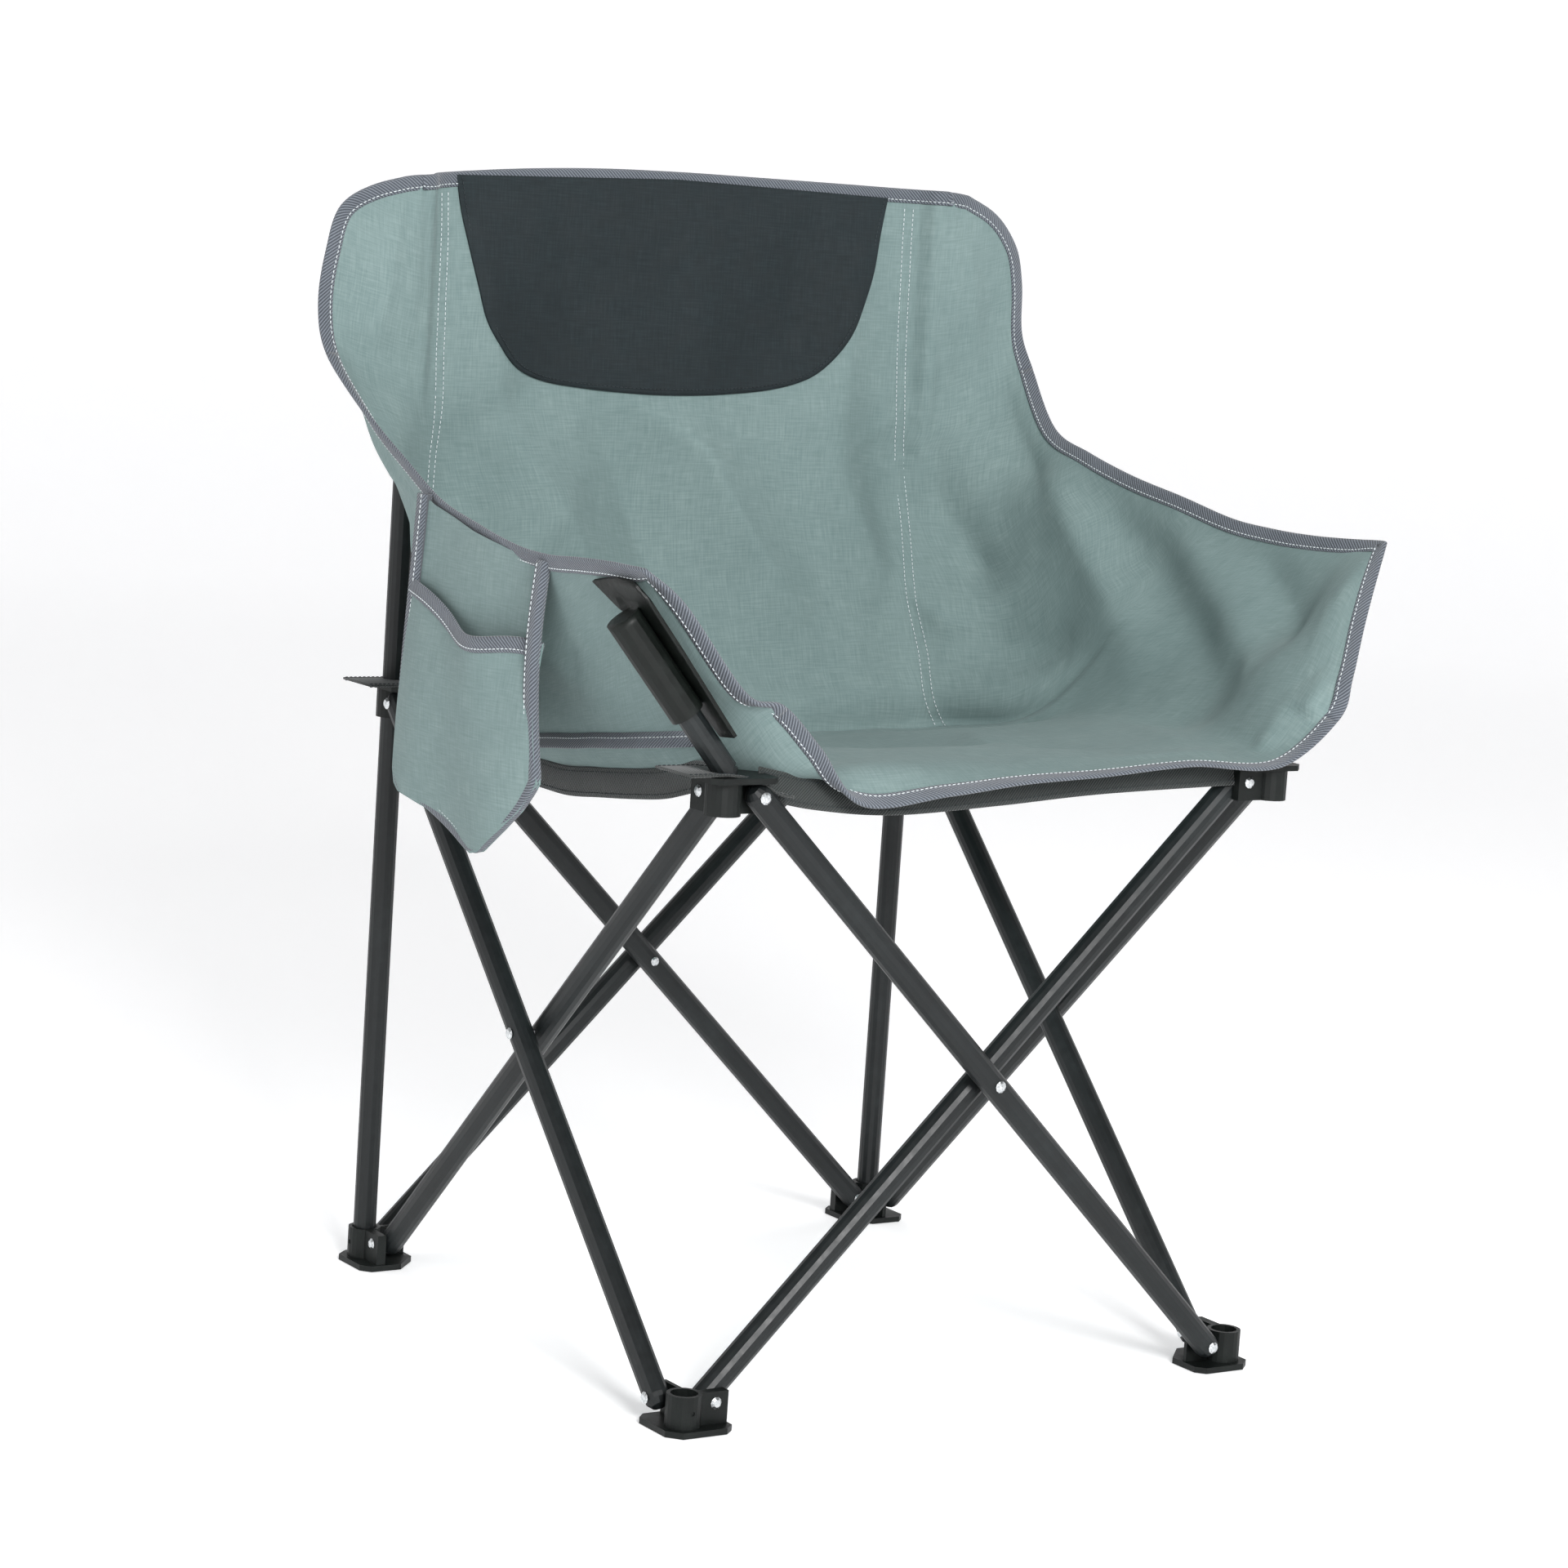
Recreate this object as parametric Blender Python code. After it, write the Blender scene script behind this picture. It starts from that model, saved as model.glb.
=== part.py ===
"""Folding bucket camp chair: four-X scissor frame of round steel tube, moulded
feet and hubs, two back posts, two short arm tubes and a sewn fabric bucket.

Metres, +Z up, chair faces -Y, +X is the sitter's left. The origin is on the
floor under the middle of the footprint.
"""
import bpy
import bmesh
import math
from mathutils import Matrix, Vector

for ob in list(bpy.data.objects):
    bpy.data.objects.remove(ob, do_unlink=True)

# ---------------------------------------------------------------- dimensions
HALF = 0.215            # column axis to chair centre, both ways
PIVOT = 0.021           # column axis to each end rivet, along the side
Z_FOOT = 0.0175         # height of the foot rivets
Z_HUB = 0.400           # height of the hub rivets
TUBE_R = 0.0085         # 17 mm scissor tube
TUBE_WALL = 0.0012
OUTER = 0.0070          # outer scissor tube plane, outside the column axis
INNER = 0.0108          # inner scissor tube plane, inside the column axis
GAP = 0.0003
POST_R = 0.0080         # 16 mm back post
POST_WALL = 0.0012
POST_TOP = 0.7500
POST_BASE = 0.0055
FOOT_H = 0.025
PLATE_T = 0.004
SOCKET_R = 0.0088
BOSS_R = 0.0114
HUB_LOW = 0.388
HUB_PLATE_LOW = 0.4088
HUB_TOP = 0.4125
RIVET_R = 0.0020
RIVET_HOLE = 0.0024
HEAD_R = 0.0040
HEAD_H = 0.0016
ARM_R = 0.0080          # 16 mm arm tube
ARM_TIP = Vector((0.285, -0.200, 0.507))
SLEEVE_R = 0.0112
BACK_Y = 0.2040         # front layer of the back panel, in front of the posts
BACK_REAR_Y = 0.2275    # rear layer of the post sleeves
BACK_TOP = 0.775
BACK_SPLIT = 0.600
CLOTH = 0.0022
SEAT_Z = 0.4175
SEAT_SAG = 0.024
SEAT_HALF_W = 0.1945
SAG_HALF_W = 0.167      # the seat is level over the hubs beyond this

# Corners in plan: name, x sign, y sign, turn about Z from the front right one
CORNERS = {
    "front_right": (-1, -1, 0),
    "front_left": (1, -1, 90),
    "rear_left": (1, 1, 180),
    "rear_right": (-1, 1, -90),
}


# ---------------------------------------------------------------- materials
def material(name, rgb, rough, metal=0.0):
    m = bpy.data.materials.new(name)
    m.use_nodes = True
    b = m.node_tree.nodes["Principled BSDF"]
    b.inputs["Base Color"].default_value = (*rgb, 1.0)
    b.inputs["Roughness"].default_value = rough
    b.inputs["Metallic"].default_value = metal
    m.diffuse_color = (*rgb, 1.0)
    return m


LOOKS = {
    "tube": ((0.030, 0.033, 0.034), 0.42, 0.2),
    "plastic": ((0.028, 0.031, 0.029), 0.50, 0.0),
    "rivet": ((0.72, 0.74, 0.75), 0.30, 1.0),
    "fabric": ((0.24, 0.33, 0.32), 0.85, 0.0),
    "head": ((0.045, 0.060, 0.063), 0.85, 0.0),
    "webbing": ((0.025, 0.027, 0.026), 0.80, 0.0),
}


# ---------------------------------------------------------------- mesh tools
def new_object(name, bm, look, smooth=False):
    bmesh.ops.recalc_face_normals(bm, faces=bm.faces[:])
    me = bpy.data.meshes.new(name)
    bm.to_mesh(me)
    bm.free()
    ob = bpy.data.objects.new(name, me)
    bpy.context.collection.objects.link(ob)
    rgb, rough, metal = LOOKS[look]
    me.materials.append(material(name + "_mat", rgb, rough, metal))
    if smooth:
        me.shade_smooth()
        me.set_sharp_from_angle(angle=math.radians(40))
    return ob


def frame_along(a, b):
    """Matrix whose Z runs from a to b, placed at a."""
    z = (b - a).normalized()
    x = z.orthogonal().normalized() if abs(z.z) > 0.999 else Vector((0, 0, 1)).cross(z).normalized()
    y = z.cross(x)
    m = Matrix((x, y, z)).transposed().to_4x4()
    m.translation = a
    return m


def turned(profile, sides, m=Matrix()):
    """Closed solid turned from (radius, height) pairs; radius 0 makes a pole."""
    bm = bmesh.new()
    rings = []
    for r, h in profile:
        if r < 1e-9:
            rings.append([bm.verts.new(m @ Vector((0, 0, h)))])
        else:
            rings.append([
                bm.verts.new(m @ Vector((r * math.cos(2 * math.pi * i / sides), r * math.sin(2 * math.pi * i / sides), h)))
                for i in range(sides)
            ])
    for a, b in zip(rings, rings[1:]):
        for i in range(sides):
            j = (i + 1) % sides
            if len(a) == 1:
                bm.faces.new((a[0], b[j], b[i]))
            elif len(b) == 1:
                bm.faces.new((a[i], a[j], b[0]))
            else:
                bm.faces.new((a[i], a[j], b[j], b[i]))
    if len(rings[0]) > 1:
        bm.faces.new(list(reversed(rings[0])))
    if len(rings[-1]) > 1:
        bm.faces.new(rings[-1])
    bmesh.ops.recalc_face_normals(bm, faces=bm.faces[:])
    return bm


def rod(a, b, r, sides):
    return turned([(r, 0.0), (r, (b - a).length)], sides, frame_along(a, b))


def prism(points, low, high, axis="z"):
    """Extruded polygon; points are in the plane across axis."""
    def place(p, h):
        return {"z": (p[0], p[1], h), "y": (p[0], h, p[1]), "x": (h, p[0], p[1])}[axis]
    bm = bmesh.new()
    lo = [bm.verts.new(place(p, low)) for p in points]
    hi = [bm.verts.new(place(p, high)) for p in points]
    bm.faces.new(lo)
    bm.faces.new(hi)
    n = len(points)
    for i in range(n):
        j = (i + 1) % n
        bm.faces.new((lo[i], lo[j], hi[j], hi[i]))
    bmesh.ops.recalc_face_normals(bm, faces=bm.faces[:])
    return bm


def block(lo, hi):
    return prism([(lo[0], lo[1]), (hi[0], lo[1]), (hi[0], hi[1]), (lo[0], hi[1])], lo[2], hi[2])


def temp(bm):
    me = bpy.data.meshes.new("cutter")
    bm.to_mesh(me)
    bm.free()
    ob = bpy.data.objects.new("cutter", me)
    bpy.context.collection.objects.link(ob)
    return ob


def combine(ob, tools):
    """Applies Boolean tools, given as (operation, bmesh), one after another."""
    for op, bm in tools:
        cutter = temp(bm)
        mod = ob.modifiers.new("cut", "BOOLEAN")
        mod.operation = op
        mod.solver = "EXACT"
        mod.object = cutter
        deps = bpy.context.evaluated_depsgraph_get()
        result = bpy.data.meshes.new_from_object(ob.evaluated_get(deps))
        ob.modifiers.remove(mod)
        mats = list(ob.data.materials)
        old = ob.data
        ob.data = result
        result.materials.clear()
        for mt in mats:
            result.materials.append(mt)
        for poly in result.polygons:
            poly.material_index = 0
        bpy.data.meshes.remove(old)
        bpy.data.objects.remove(cutter, do_unlink=True)
    return ob


def tidy(ob, smooth_angle=None):
    bm = bmesh.new()
    bm.from_mesh(ob.data)
    bmesh.ops.remove_doubles(bm, verts=bm.verts[:], dist=2e-6)
    bmesh.ops.dissolve_limit(bm, angle_limit=math.radians(0.3), verts=bm.verts[:], edges=bm.edges[:])
    bmesh.ops.triangulate(bm, faces=bm.faces[:])
    bm.to_mesh(ob.data)
    bm.free()
    if smooth_angle:
        ob.data.shade_smooth()
        ob.data.set_sharp_from_angle(angle=math.radians(smooth_angle))
    return ob


def move_origin(ob, point):
    """Puts the object's origin on a joint's axis without moving its shape."""
    ob.data.transform(Matrix.Translation(-Vector(point)))
    ob.location = Vector(point)


def column(corner):
    sx, sy, _ = CORNERS[corner]
    return Vector((sx * HALF, sy * HALF, 0.0))


# ---------------------------------------------------------------- scissor tubes
def scissor(name, low, high, across):
    """Tube with round noses between two rivet points; across is the rivet axis."""
    length = (high - low).length
    m = frame_along(low, high)
    nose = [(0.0, -TUBE_R), (TUBE_R * 0.62, -TUBE_R * 0.785), (TUBE_R * 0.93, -TUBE_R * 0.37), (TUBE_R, 0.0)]
    top = [(r, length - h) for r, h in reversed(nose)]
    ob = new_object(name, turned(nose + top, 16, m), "tube")
    bore = turned([(TUBE_R - TUBE_WALL, -0.002), (TUBE_R - TUBE_WALL, length + 0.002)], 12, m)
    tools = [("DIFFERENCE", bore)]
    for p in (low, (low + high) / 2, high):
        tools.append(("DIFFERENCE", rod(p - across * 0.012, p + across * 0.012, RIVET_HOLE, 8)))
    combine(ob, tools)
    tidy(ob, 40)
    return ob


def side_point(side, along, offset, z):
    """A point on one of the four sides: along runs the side, offset is outwards."""
    return {
        "front": Vector((along, -HALF - offset, z)),
        "rear": Vector((along, HALF + offset, z)),
        "right": Vector((-HALF - offset, along, z)),
        "left": Vector((HALF + offset, along, z)),
    }[side]


REACH = HALF - PIVOT
# name: side, offset, along at the foot, along at the hub
TUBES = {
    "tube_front_outer": ("front", OUTER, REACH, -REACH),
    "tube_front_inner": ("front", -INNER, -REACH, REACH),
    "tube_right_outer": ("right", OUTER, -REACH, REACH),
    "tube_right_inner": ("right", -INNER, REACH, -REACH),
    "tube_rear_outer": ("rear", OUTER, -REACH, REACH),
    "tube_rear_inner": ("rear", -INNER, REACH, -REACH),
    "tube_left_outer": ("left", OUTER, REACH, -REACH),
    "tube_left_inner": ("left", -INNER, -REACH, REACH),
}
for name, (side, off, foot_at, hub_at) in TUBES.items():
    across = Vector((0, 1, 0)) if side in ("front", "rear") else Vector((1, 0, 0))
    ob = scissor(name, side_point(side, foot_at, off, Z_FOOT), side_point(side, hub_at, off, Z_HUB), across)
    move_origin(ob, side_point(side, foot_at, off, Z_FOOT))


# ---------------------------------------------------------------- feet and hubs
# Both are modelled round their column axis for the front right corner, where +x
# runs along the front and +y along the right side, then turned to their corner.
EAR_OUT = (-0.0047, INNER - TUBE_R - GAP)      # ear outside an inner tube
EAR_IN = (-OUTER + TUBE_R + GAP, -OUTER + TUBE_R + GAP + 0.0030)  # ear inside an outer tube


def corner_piece(name, corner, kind):
    foot = kind == "foot"
    zc = Z_FOOT if foot else Z_HUB
    lo, hi = (PLATE_T - 0.0005, FOOT_H) if foot else (HUB_LOW, HUB_PLATE_LOW + 0.0005)
    flip = not foot     # a hub's outer and inner sides are swapped
    tools = []
    if foot:
        base = [(-0.0160, -0.006), (-0.0080, -0.0150), (0.0240, -0.0150), (0.0310, -0.0090), (0.0310, 0.0140),
                (0.0140, 0.0310), (-0.0100, 0.0310), (-0.0160, 0.0250)]
        body = prism(base, 0.0, PLATE_T)
    else:
        base = [(-0.0160, -0.010), (-0.0100, -0.0160), (0.0270, -0.0160), (0.0320, -0.0110), (0.0320, 0.0120),
                (0.0120, 0.0320), (-0.0110, 0.0320), (-0.0160, 0.0270)]
        body = prism(base, HUB_PLATE_LOW, HUB_TOP)
    ob = new_object(name, body, "plastic")
    # boss with a flat outer corner
    boss = []
    for i in range(20):
        t = 2 * math.pi * i / 20
        x, y = BOSS_R * math.cos(t), BOSS_R * math.sin(t)
        boss.append((x, y))
    tools.append(("UNION", prism(boss, lo, hi)))
    # flat front face that carries the outside ear
    y0, y1 = EAR_OUT
    ear = [(-0.0090, y0), (PIVOT + 0.0088, y0), (PIVOT + 0.0088, y1), (-0.0090, y1)]
    if flip:
        ear = [(y, x) for x, y in ear]
    tools.append(("UNION", prism(ear, lo, hi)))
    x0, x1 = EAR_IN
    ear = [(x0, 0.0080), (x1, 0.0080), (x1, PIVOT + 0.0085), (x0, PIVOT + 0.0085)]
    if flip:
        ear = [(y, x) for x, y in ear]
    tools.append(("UNION", prism(ear, lo, hi)))
    # socket or bore
    if foot:
        tools.append(("DIFFERENCE", rod(Vector((0, 0, 0.0050)), Vector((0, 0, 0.040)), SOCKET_R, 16)))
        tools.append(("DIFFERENCE", rod(Vector((0, -0.020, 0.0145)), Vector((0, -0.0105, 0.0145)), 0.0016, 8)))
    else:
        depth = HUB_LOW - 0.01 if corner.startswith("rear") else HUB_LOW + 0.004
        tools.append(("DIFFERENCE", rod(Vector((0, 0, depth)), Vector((0, 0, HUB_TOP + 0.01)), SOCKET_R, 16)))
    # rivet holes
    if flip:
        tools.append(("DIFFERENCE", rod(Vector((-0.012, PIVOT, zc)), Vector((0.006, PIVOT, zc)), RIVET_HOLE, 8)))
        tools.append(("DIFFERENCE", rod(Vector((PIVOT, -0.006, zc)), Vector((PIVOT, 0.009, zc)), RIVET_HOLE, 8)))
    else:
        tools.append(("DIFFERENCE", rod(Vector((PIVOT, -0.012, zc)), Vector((PIVOT, 0.006, zc)), RIVET_HOLE, 8)))
        tools.append(("DIFFERENCE", rod(Vector((-0.006, PIVOT, zc)), Vector((0.009, PIVOT, zc)), RIVET_HOLE, 8)))
    combine(ob, tools)
    tidy(ob, 35)
    turn = CORNERS[corner][2]
    ob.data.transform(Matrix.Rotation(math.radians(turn), 4, "Z"))
    ob.location = column(corner)
    return ob


for corner in CORNERS:
    corner_piece("foot_" + corner, corner, "foot")
    corner_piece("hub_" + corner, corner, "hub")


# ---------------------------------------------------------------- rivets
def rivet(name, centre, out, start, end):
    """Rivet along out: its factory head is at start, its set head at end."""
    a = centre + out * start
    b = centre + out * end
    n = (b - a).length
    prof = [(0.0, -HEAD_H), (HEAD_R * 0.62, -HEAD_H * 0.80), (HEAD_R, 0.0), (RIVET_R, 0.0),
            (RIVET_R, n), (HEAD_R * 0.85, n), (HEAD_R * 0.60, n + HEAD_H * 0.8), (0.0, n + HEAD_H)]
    ob = new_object(name, turned(prof, 10, frame_along(a, b)), "rivet", smooth=True)
    tidy(ob, 40)
    return ob


for corner, (sx, sy, turn) in CORNERS.items():
    rot = Matrix.Rotation(math.radians(turn), 3, "Z")
    for kind, zc in (("foot", Z_FOOT), ("hub", Z_HUB)):
        flip = kind == "hub"
        # inner tube: ear outside, tube inside
        along = Vector((0, PIVOT, 0)) if flip else Vector((PIVOT, 0, 0))
        inward = Vector((1, 0, 0)) if flip else Vector((0, 1, 0))
        c = column(corner) + rot @ along + Vector((0, 0, zc))
        rivet(f"rivet_{corner}_{kind}_inner", c, rot @ inward, EAR_OUT[0] - GAP, INNER + TUBE_R + GAP)
        # outer tube: tube outside, ear inside
        along = Vector((PIVOT, 0, 0)) if flip else Vector((0, PIVOT, 0))
        inward = Vector((0, 1, 0)) if flip else Vector((1, 0, 0))
        c = column(corner) + rot @ along + Vector((0, 0, zc))
        rivet(f"rivet_{corner}_{kind}_outer", c, rot @ inward, -OUTER - TUBE_R - GAP, EAR_IN[1] + GAP)
Z_MID = (Z_FOOT + Z_HUB) / 2
for side, inward in (("front", (0, 1, 0)), ("rear", (0, -1, 0)), ("right", (1, 0, 0)), ("left", (-1, 0, 0))):
    rivet(f"rivet_{side}_crossing", side_point(side, 0.0, 0.0, Z_MID), Vector(inward), -OUTER - TUBE_R - GAP, INNER + TUBE_R + GAP)


# ---------------------------------------------------------------- back posts
def hollow_rod(name, a, b, r, wall, look, sides=16, floor=0.0):
    """Tube from a to b, open at b, with a floor of the given thickness at a."""
    n = (b - a).length
    if floor:
        prof = [(0.0, 0.0), (r, 0.0), (r, n), (r - wall, n), (r - wall, floor), (0.0, floor)]
        ob = new_object(name, turned(prof, sides, frame_along(a, b)), look, smooth=True)
    else:
        ob = new_object(name, rod(a, b, r, sides), look)
        over = (b - a).normalized() * 0.01
        combine(ob, [("DIFFERENCE", rod(a - over, b + over, r - wall, sides))])
    tidy(ob, 40)
    return ob


for side, sx in (("right", -1), ("left", 1)):
    base = Vector((sx * HALF, HALF, POST_BASE))
    top = Vector((sx * HALF, HALF, POST_TOP))
    hollow_rod("post_" + side, base, top, POST_R, POST_WALL, "tube")
    cap = [(0.0, -0.010), (POST_R - POST_WALL - GAP, -0.010), (POST_R - POST_WALL - GAP, GAP), (POST_R, GAP),
           (POST_R * 0.9, 0.0035), (0.0, 0.0045)]
    ob = new_object("post_cap_" + side, turned(cap, 12, Matrix.Translation(top)), "plastic", smooth=True)
    tidy(ob, 40)


# ---------------------------------------------------------------- arm tubes
def arm(side, sx):
    base = Vector((sx * HALF, -HALF, HUB_TOP + 0.0035))
    tip = Vector((sx * ARM_TIP.x, ARM_TIP.y, ARM_TIP.z))
    d = (tip - base).normalized()
    # tube with a straight spigot in the hub's bore
    ob = hollow_rod("arm_tube_" + side, base - d * 0.0, tip - d * 0.004, ARM_R, 0.0012, "tube", 16, floor=0.003)
    spigot = rod(Vector((sx * HALF, -HALF, HUB_LOW + 0.006)), Vector((sx * HALF, -HALF, HUB_TOP + 0.0055)), 0.0078, 14)
    combine(ob, [("UNION", spigot)])
    tidy(ob, 40)
    # moulded sleeve over the tube, with a flat wing that lies on the fabric
    s0 = base + d * 0.043
    prof = [(ARM_R + GAP, 0.0), (SLEEVE_R, 0.0), (SLEEVE_R, (tip - s0).length), (0.0, (tip - s0).length),
            (0.0, (tip - s0).length - 0.0035), (ARM_R + GAP, (tip - s0).length - 0.0035), (ARM_R + GAP, 0.0)]
    m = frame_along(s0, tip)
    n = (tip - s0).length
    sl = new_object("arm_sleeve_" + side, turned([(SLEEVE_R, 0.0), (SLEEVE_R, n)], 16, m), "plastic")
    side_dir = Vector((0, 1, 0))
    side_dir = (side_dir - d * side_dir.dot(d)).normalized()      # towards the back, across the tube
    face = d.cross(side_dir).normalized()
    if face.x * sx > 0:
        face = -face                                              # towards the sitter
    outline = [(-0.018, n * 0.05 - 0.030), (-0.030, n * 0.55), (-0.033, n + 0.004), (-0.022, n + 0.017),
               (0.000, n + 0.021), (0.034, n + 0.019), (0.012, n - 0.004), (0.010, n * 0.2), (0.004, n * 0.05 - 0.030)]
    bm = bmesh.new()
    lo, hi = [], []
    for u, v in outline:
        p = s0 + side_dir * u + d * v + face * (SLEEVE_R - 0.0006)
        lo.append(bm.verts.new(p))
        hi.append(bm.verts.new(p + face * 0.0024))
    bm.faces.new(lo)
    bm.faces.new(hi)
    k = len(outline)
    for i in range(k):
        j = (i + 1) % k
        bm.faces.new((lo[i], lo[j], hi[j], hi[i]))
    bmesh.ops.recalc_face_normals(bm, faces=bm.faces[:])
    bore = turned([(ARM_R + GAP, -0.05), (ARM_R + GAP, n - 0.0035)], 16, m)
    combine(sl, [("UNION", bm), ("DIFFERENCE", bore)])
    tidy(sl, 40)


arm("right", -1)
arm("left", 1)


# ---------------------------------------------------------------- fabric
def slab(name, grid, thick, look):
    """Closed sheet from a grid of points, thick across its own normals."""
    rows, cols = len(grid), len(grid[0])
    nrm = [[None] * cols for _ in range(rows)]
    for i in range(rows):
        for j in range(cols):
            a = grid[min(i + 1, rows - 1)][j] - grid[max(i - 1, 0)][j]
            b = grid[i][min(j + 1, cols - 1)] - grid[i][max(j - 1, 0)]
            nrm[i][j] = a.cross(b).normalized()
    bm = bmesh.new()
    lo = [[bm.verts.new(grid[i][j] - nrm[i][j] * thick / 2) for j in range(cols)] for i in range(rows)]
    hi = [[bm.verts.new(grid[i][j] + nrm[i][j] * thick / 2) for j in range(cols)] for i in range(rows)]
    for i in range(rows - 1):
        for j in range(cols - 1):
            bm.faces.new((lo[i][j], lo[i + 1][j], lo[i + 1][j + 1], lo[i][j + 1]))
            bm.faces.new((hi[i][j], hi[i][j + 1], hi[i + 1][j + 1], hi[i + 1][j]))
    for i in range(rows - 1):
        bm.faces.new((lo[i][0], hi[i][0], hi[i + 1][0], lo[i + 1][0]))
        bm.faces.new((lo[i][-1], lo[i + 1][-1], hi[i + 1][-1], hi[i][-1]))
    for j in range(cols - 1):
        bm.faces.new((lo[0][j], lo[0][j + 1], hi[0][j + 1], hi[0][j]))
        bm.faces.new((lo[-1][j], hi[-1][j], hi[-1][j + 1], lo[-1][j + 1]))
    bmesh.ops.triangulate(bm, faces=bm.faces[:])
    return new_object(name, bm, look)


# Back panel, upper part: one front layer with its wings, and a sleeve over each
# post made by a rear layer that joins it along its inner seam, edge and top.
half_outline = [(0.262, BACK_SPLIT), (0.284, 0.630), (0.292, 0.672), (0.288, 0.712), (0.272, 0.746), (0.245, 0.767),
                (0.200, 0.773), (0.110, BACK_TOP)]
outline = half_outline + [(-x, z) for x, z in reversed(half_outline)]
ob = new_object("back_panel_upper", prism(outline, BACK_Y - CLOTH / 2, BACK_Y + CLOTH / 2, "y"), "fabric")
tools = []
for sx in (-1, 1):
    rear = [(sx * 0.188, BACK_SPLIT), (sx * 0.262, BACK_SPLIT), (sx * 0.284, 0.630), (sx * 0.291, 0.672), (sx * 0.287, 0.712),
            (sx * 0.271, 0.745), (sx * 0.244, 0.766), (sx * 0.200, 0.772), (sx * 0.188, 0.772)]
    tools.append(("UNION", prism(rear, BACK_Y, BACK_REAR_Y + CLOTH / 2, "y")))
for sx in (-1, 1):
    hollow = [(sx * 0.1905, BACK_SPLIT - 0.01), (sx * 0.2560, BACK_SPLIT - 0.01), (sx * 0.2600, 0.630), (sx * 0.2600, 0.730),
              (sx * 0.2400, 0.7675), (sx * 0.1905, 0.7690)]
    tools.append(("DIFFERENCE", prism(hollow, BACK_Y + CLOTH / 2 + 0.0004, BACK_REAR_Y - CLOTH / 2, "y")))
combine(ob, tools)
tidy(ob)

# Back panel, lower part, down to the seat
z0, z1 = 0.4205, BACK_SPLIT - GAP
grid = [[Vector((x, BACK_Y, z0 + (z1 - z0) * v)) for x in (-0.198, -0.10, 0.0, 0.10, 0.198)] for v in (0.0, 0.5, 1.0)]
slab("back_panel_lower", grid, CLOTH, "fabric")

# Dark head patch sewn on the front of the back panel
patch = [(0.178, 0.766), (0.172, 0.715), (0.160, 0.672), (0.138, 0.645), (0.100, 0.630), (0.050, 0.624)]
patch = patch + [(-x, z) for x, z in reversed(patch)]
new_object("headrest_patch", prism(patch, BACK_Y - CLOTH / 2 - GAP - 0.0009, BACK_Y - CLOTH / 2 - GAP, "y"), "head")


# Side panels: from the posts forward to the arm tubes, leaning outwards
def arm_panel(side, sx):
    ys = (0.200, 0.130, 0.030, -0.070, -0.150, -0.2300)
    bottom = [(0.2060, 0.4210), (0.2060, 0.4210), (0.2050, 0.4210), (0.2030, 0.4210), (0.1985, 0.4210), (0.1965, 0.4210)]
    top = [(0.2580, 0.5995), (0.2720, 0.5960), (0.2800, 0.5760), (0.2880, 0.5620), (0.2955, 0.5550), (0.3000, 0.5520)]
    grid = []
    for v in (0.0, 0.33, 0.67, 1.0):
        row = []
        for y, (xb, zb), (xt, zt) in zip(ys, bottom, top):
            row.append(Vector((sx * (xb + (xt - xb) * v), y, zb + (zt - zb) * v)))
        grid.append(row)
    slab("arm_panel_" + side, grid, CLOTH, "fabric")


arm_panel("right", -1)
arm_panel("left", 1)


# Seat: two halves that sag between the hubs
def seat_z(x, y):
    a = 1.0 - (x / SAG_HALF_W) ** 2
    b = 1.0 - 0.45 * (y / HALF) ** 2
    return SEAT_Z - SEAT_SAG * max(a, 0.0) * b


for name, ys in (("seat_front", (-0.2260, -0.150, -0.075, -GAP)), ("seat_rear", (GAP, 0.065, 0.130, 0.1980))):
    grid = [[Vector((x, y, seat_z(x, y))) for x in (-SEAT_HALF_W, -0.168, -0.10, 0.0, 0.10, 0.168, SEAT_HALF_W)] for y in ys]
    slab(name, grid, CLOTH, "fabric")


# Corner tabs: doubled webbing on each hub, under the seat, pierced for the
# arm tube or the back post
for corner, (sx, sy, turn) in CORNERS.items():
    c = column(corner)
    pts = [(-0.030, -0.0125), (0.045, -0.0125), (0.045, 0.012), (0.026, 0.034), (-0.030, 0.034)]
    if sy > 0:
        pts = [(-0.034, -0.0125), (0.040, -0.0125), (0.040, 0.012), (0.026, 0.034), (-0.034, 0.034)]
    place = [(c.x - sx * u, c.y - sy * v) for u, v in pts]
    ob = new_object("corner_tab_" + corner, prism(place, HUB_TOP + GAP, HUB_TOP + GAP + 0.0016), "webbing")
    hole = rod(Vector((c.x, c.y, HUB_TOP - 0.01)), Vector((c.x, c.y, HUB_TOP + 0.02)), 0.0100, 14)
    combine(ob, [("DIFFERENCE", hole)])
    tidy(ob)

# Side pocket: a flat pouch that hangs outside the right side panel
pocket = [(0.060, 0.5560), (0.0555, 0.470), (0.0570, 0.425), (0.068, 0.376), (0.060, 0.3620), (0.024, 0.3550), (-0.041, 0.3355),
          (-0.0625, 0.3440), (-0.093, 0.3670), (-0.1185, 0.3920), (-0.1155, 0.430), (-0.1080, 0.5320), (-0.030, 0.5430)]
ob = new_object("side_pocket", prism(pocket, -0.3005, -0.2850, "x"), "fabric")
inside = [(0.0577, 0.60), (0.0533, 0.470), (0.0547, 0.425), (0.0655, 0.3770), (0.0585, 0.3640), (0.0235, 0.3572), (-0.0400, 0.3380),
          (-0.0612, 0.3463), (-0.0915, 0.3690), (-0.1162, 0.3930), (-0.1133, 0.430), (-0.1055, 0.60)]
front_cut = [(0.12, 0.516), (0.12, 0.60), (-0.13, 0.60), (-0.13, 0.4755)]
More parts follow.
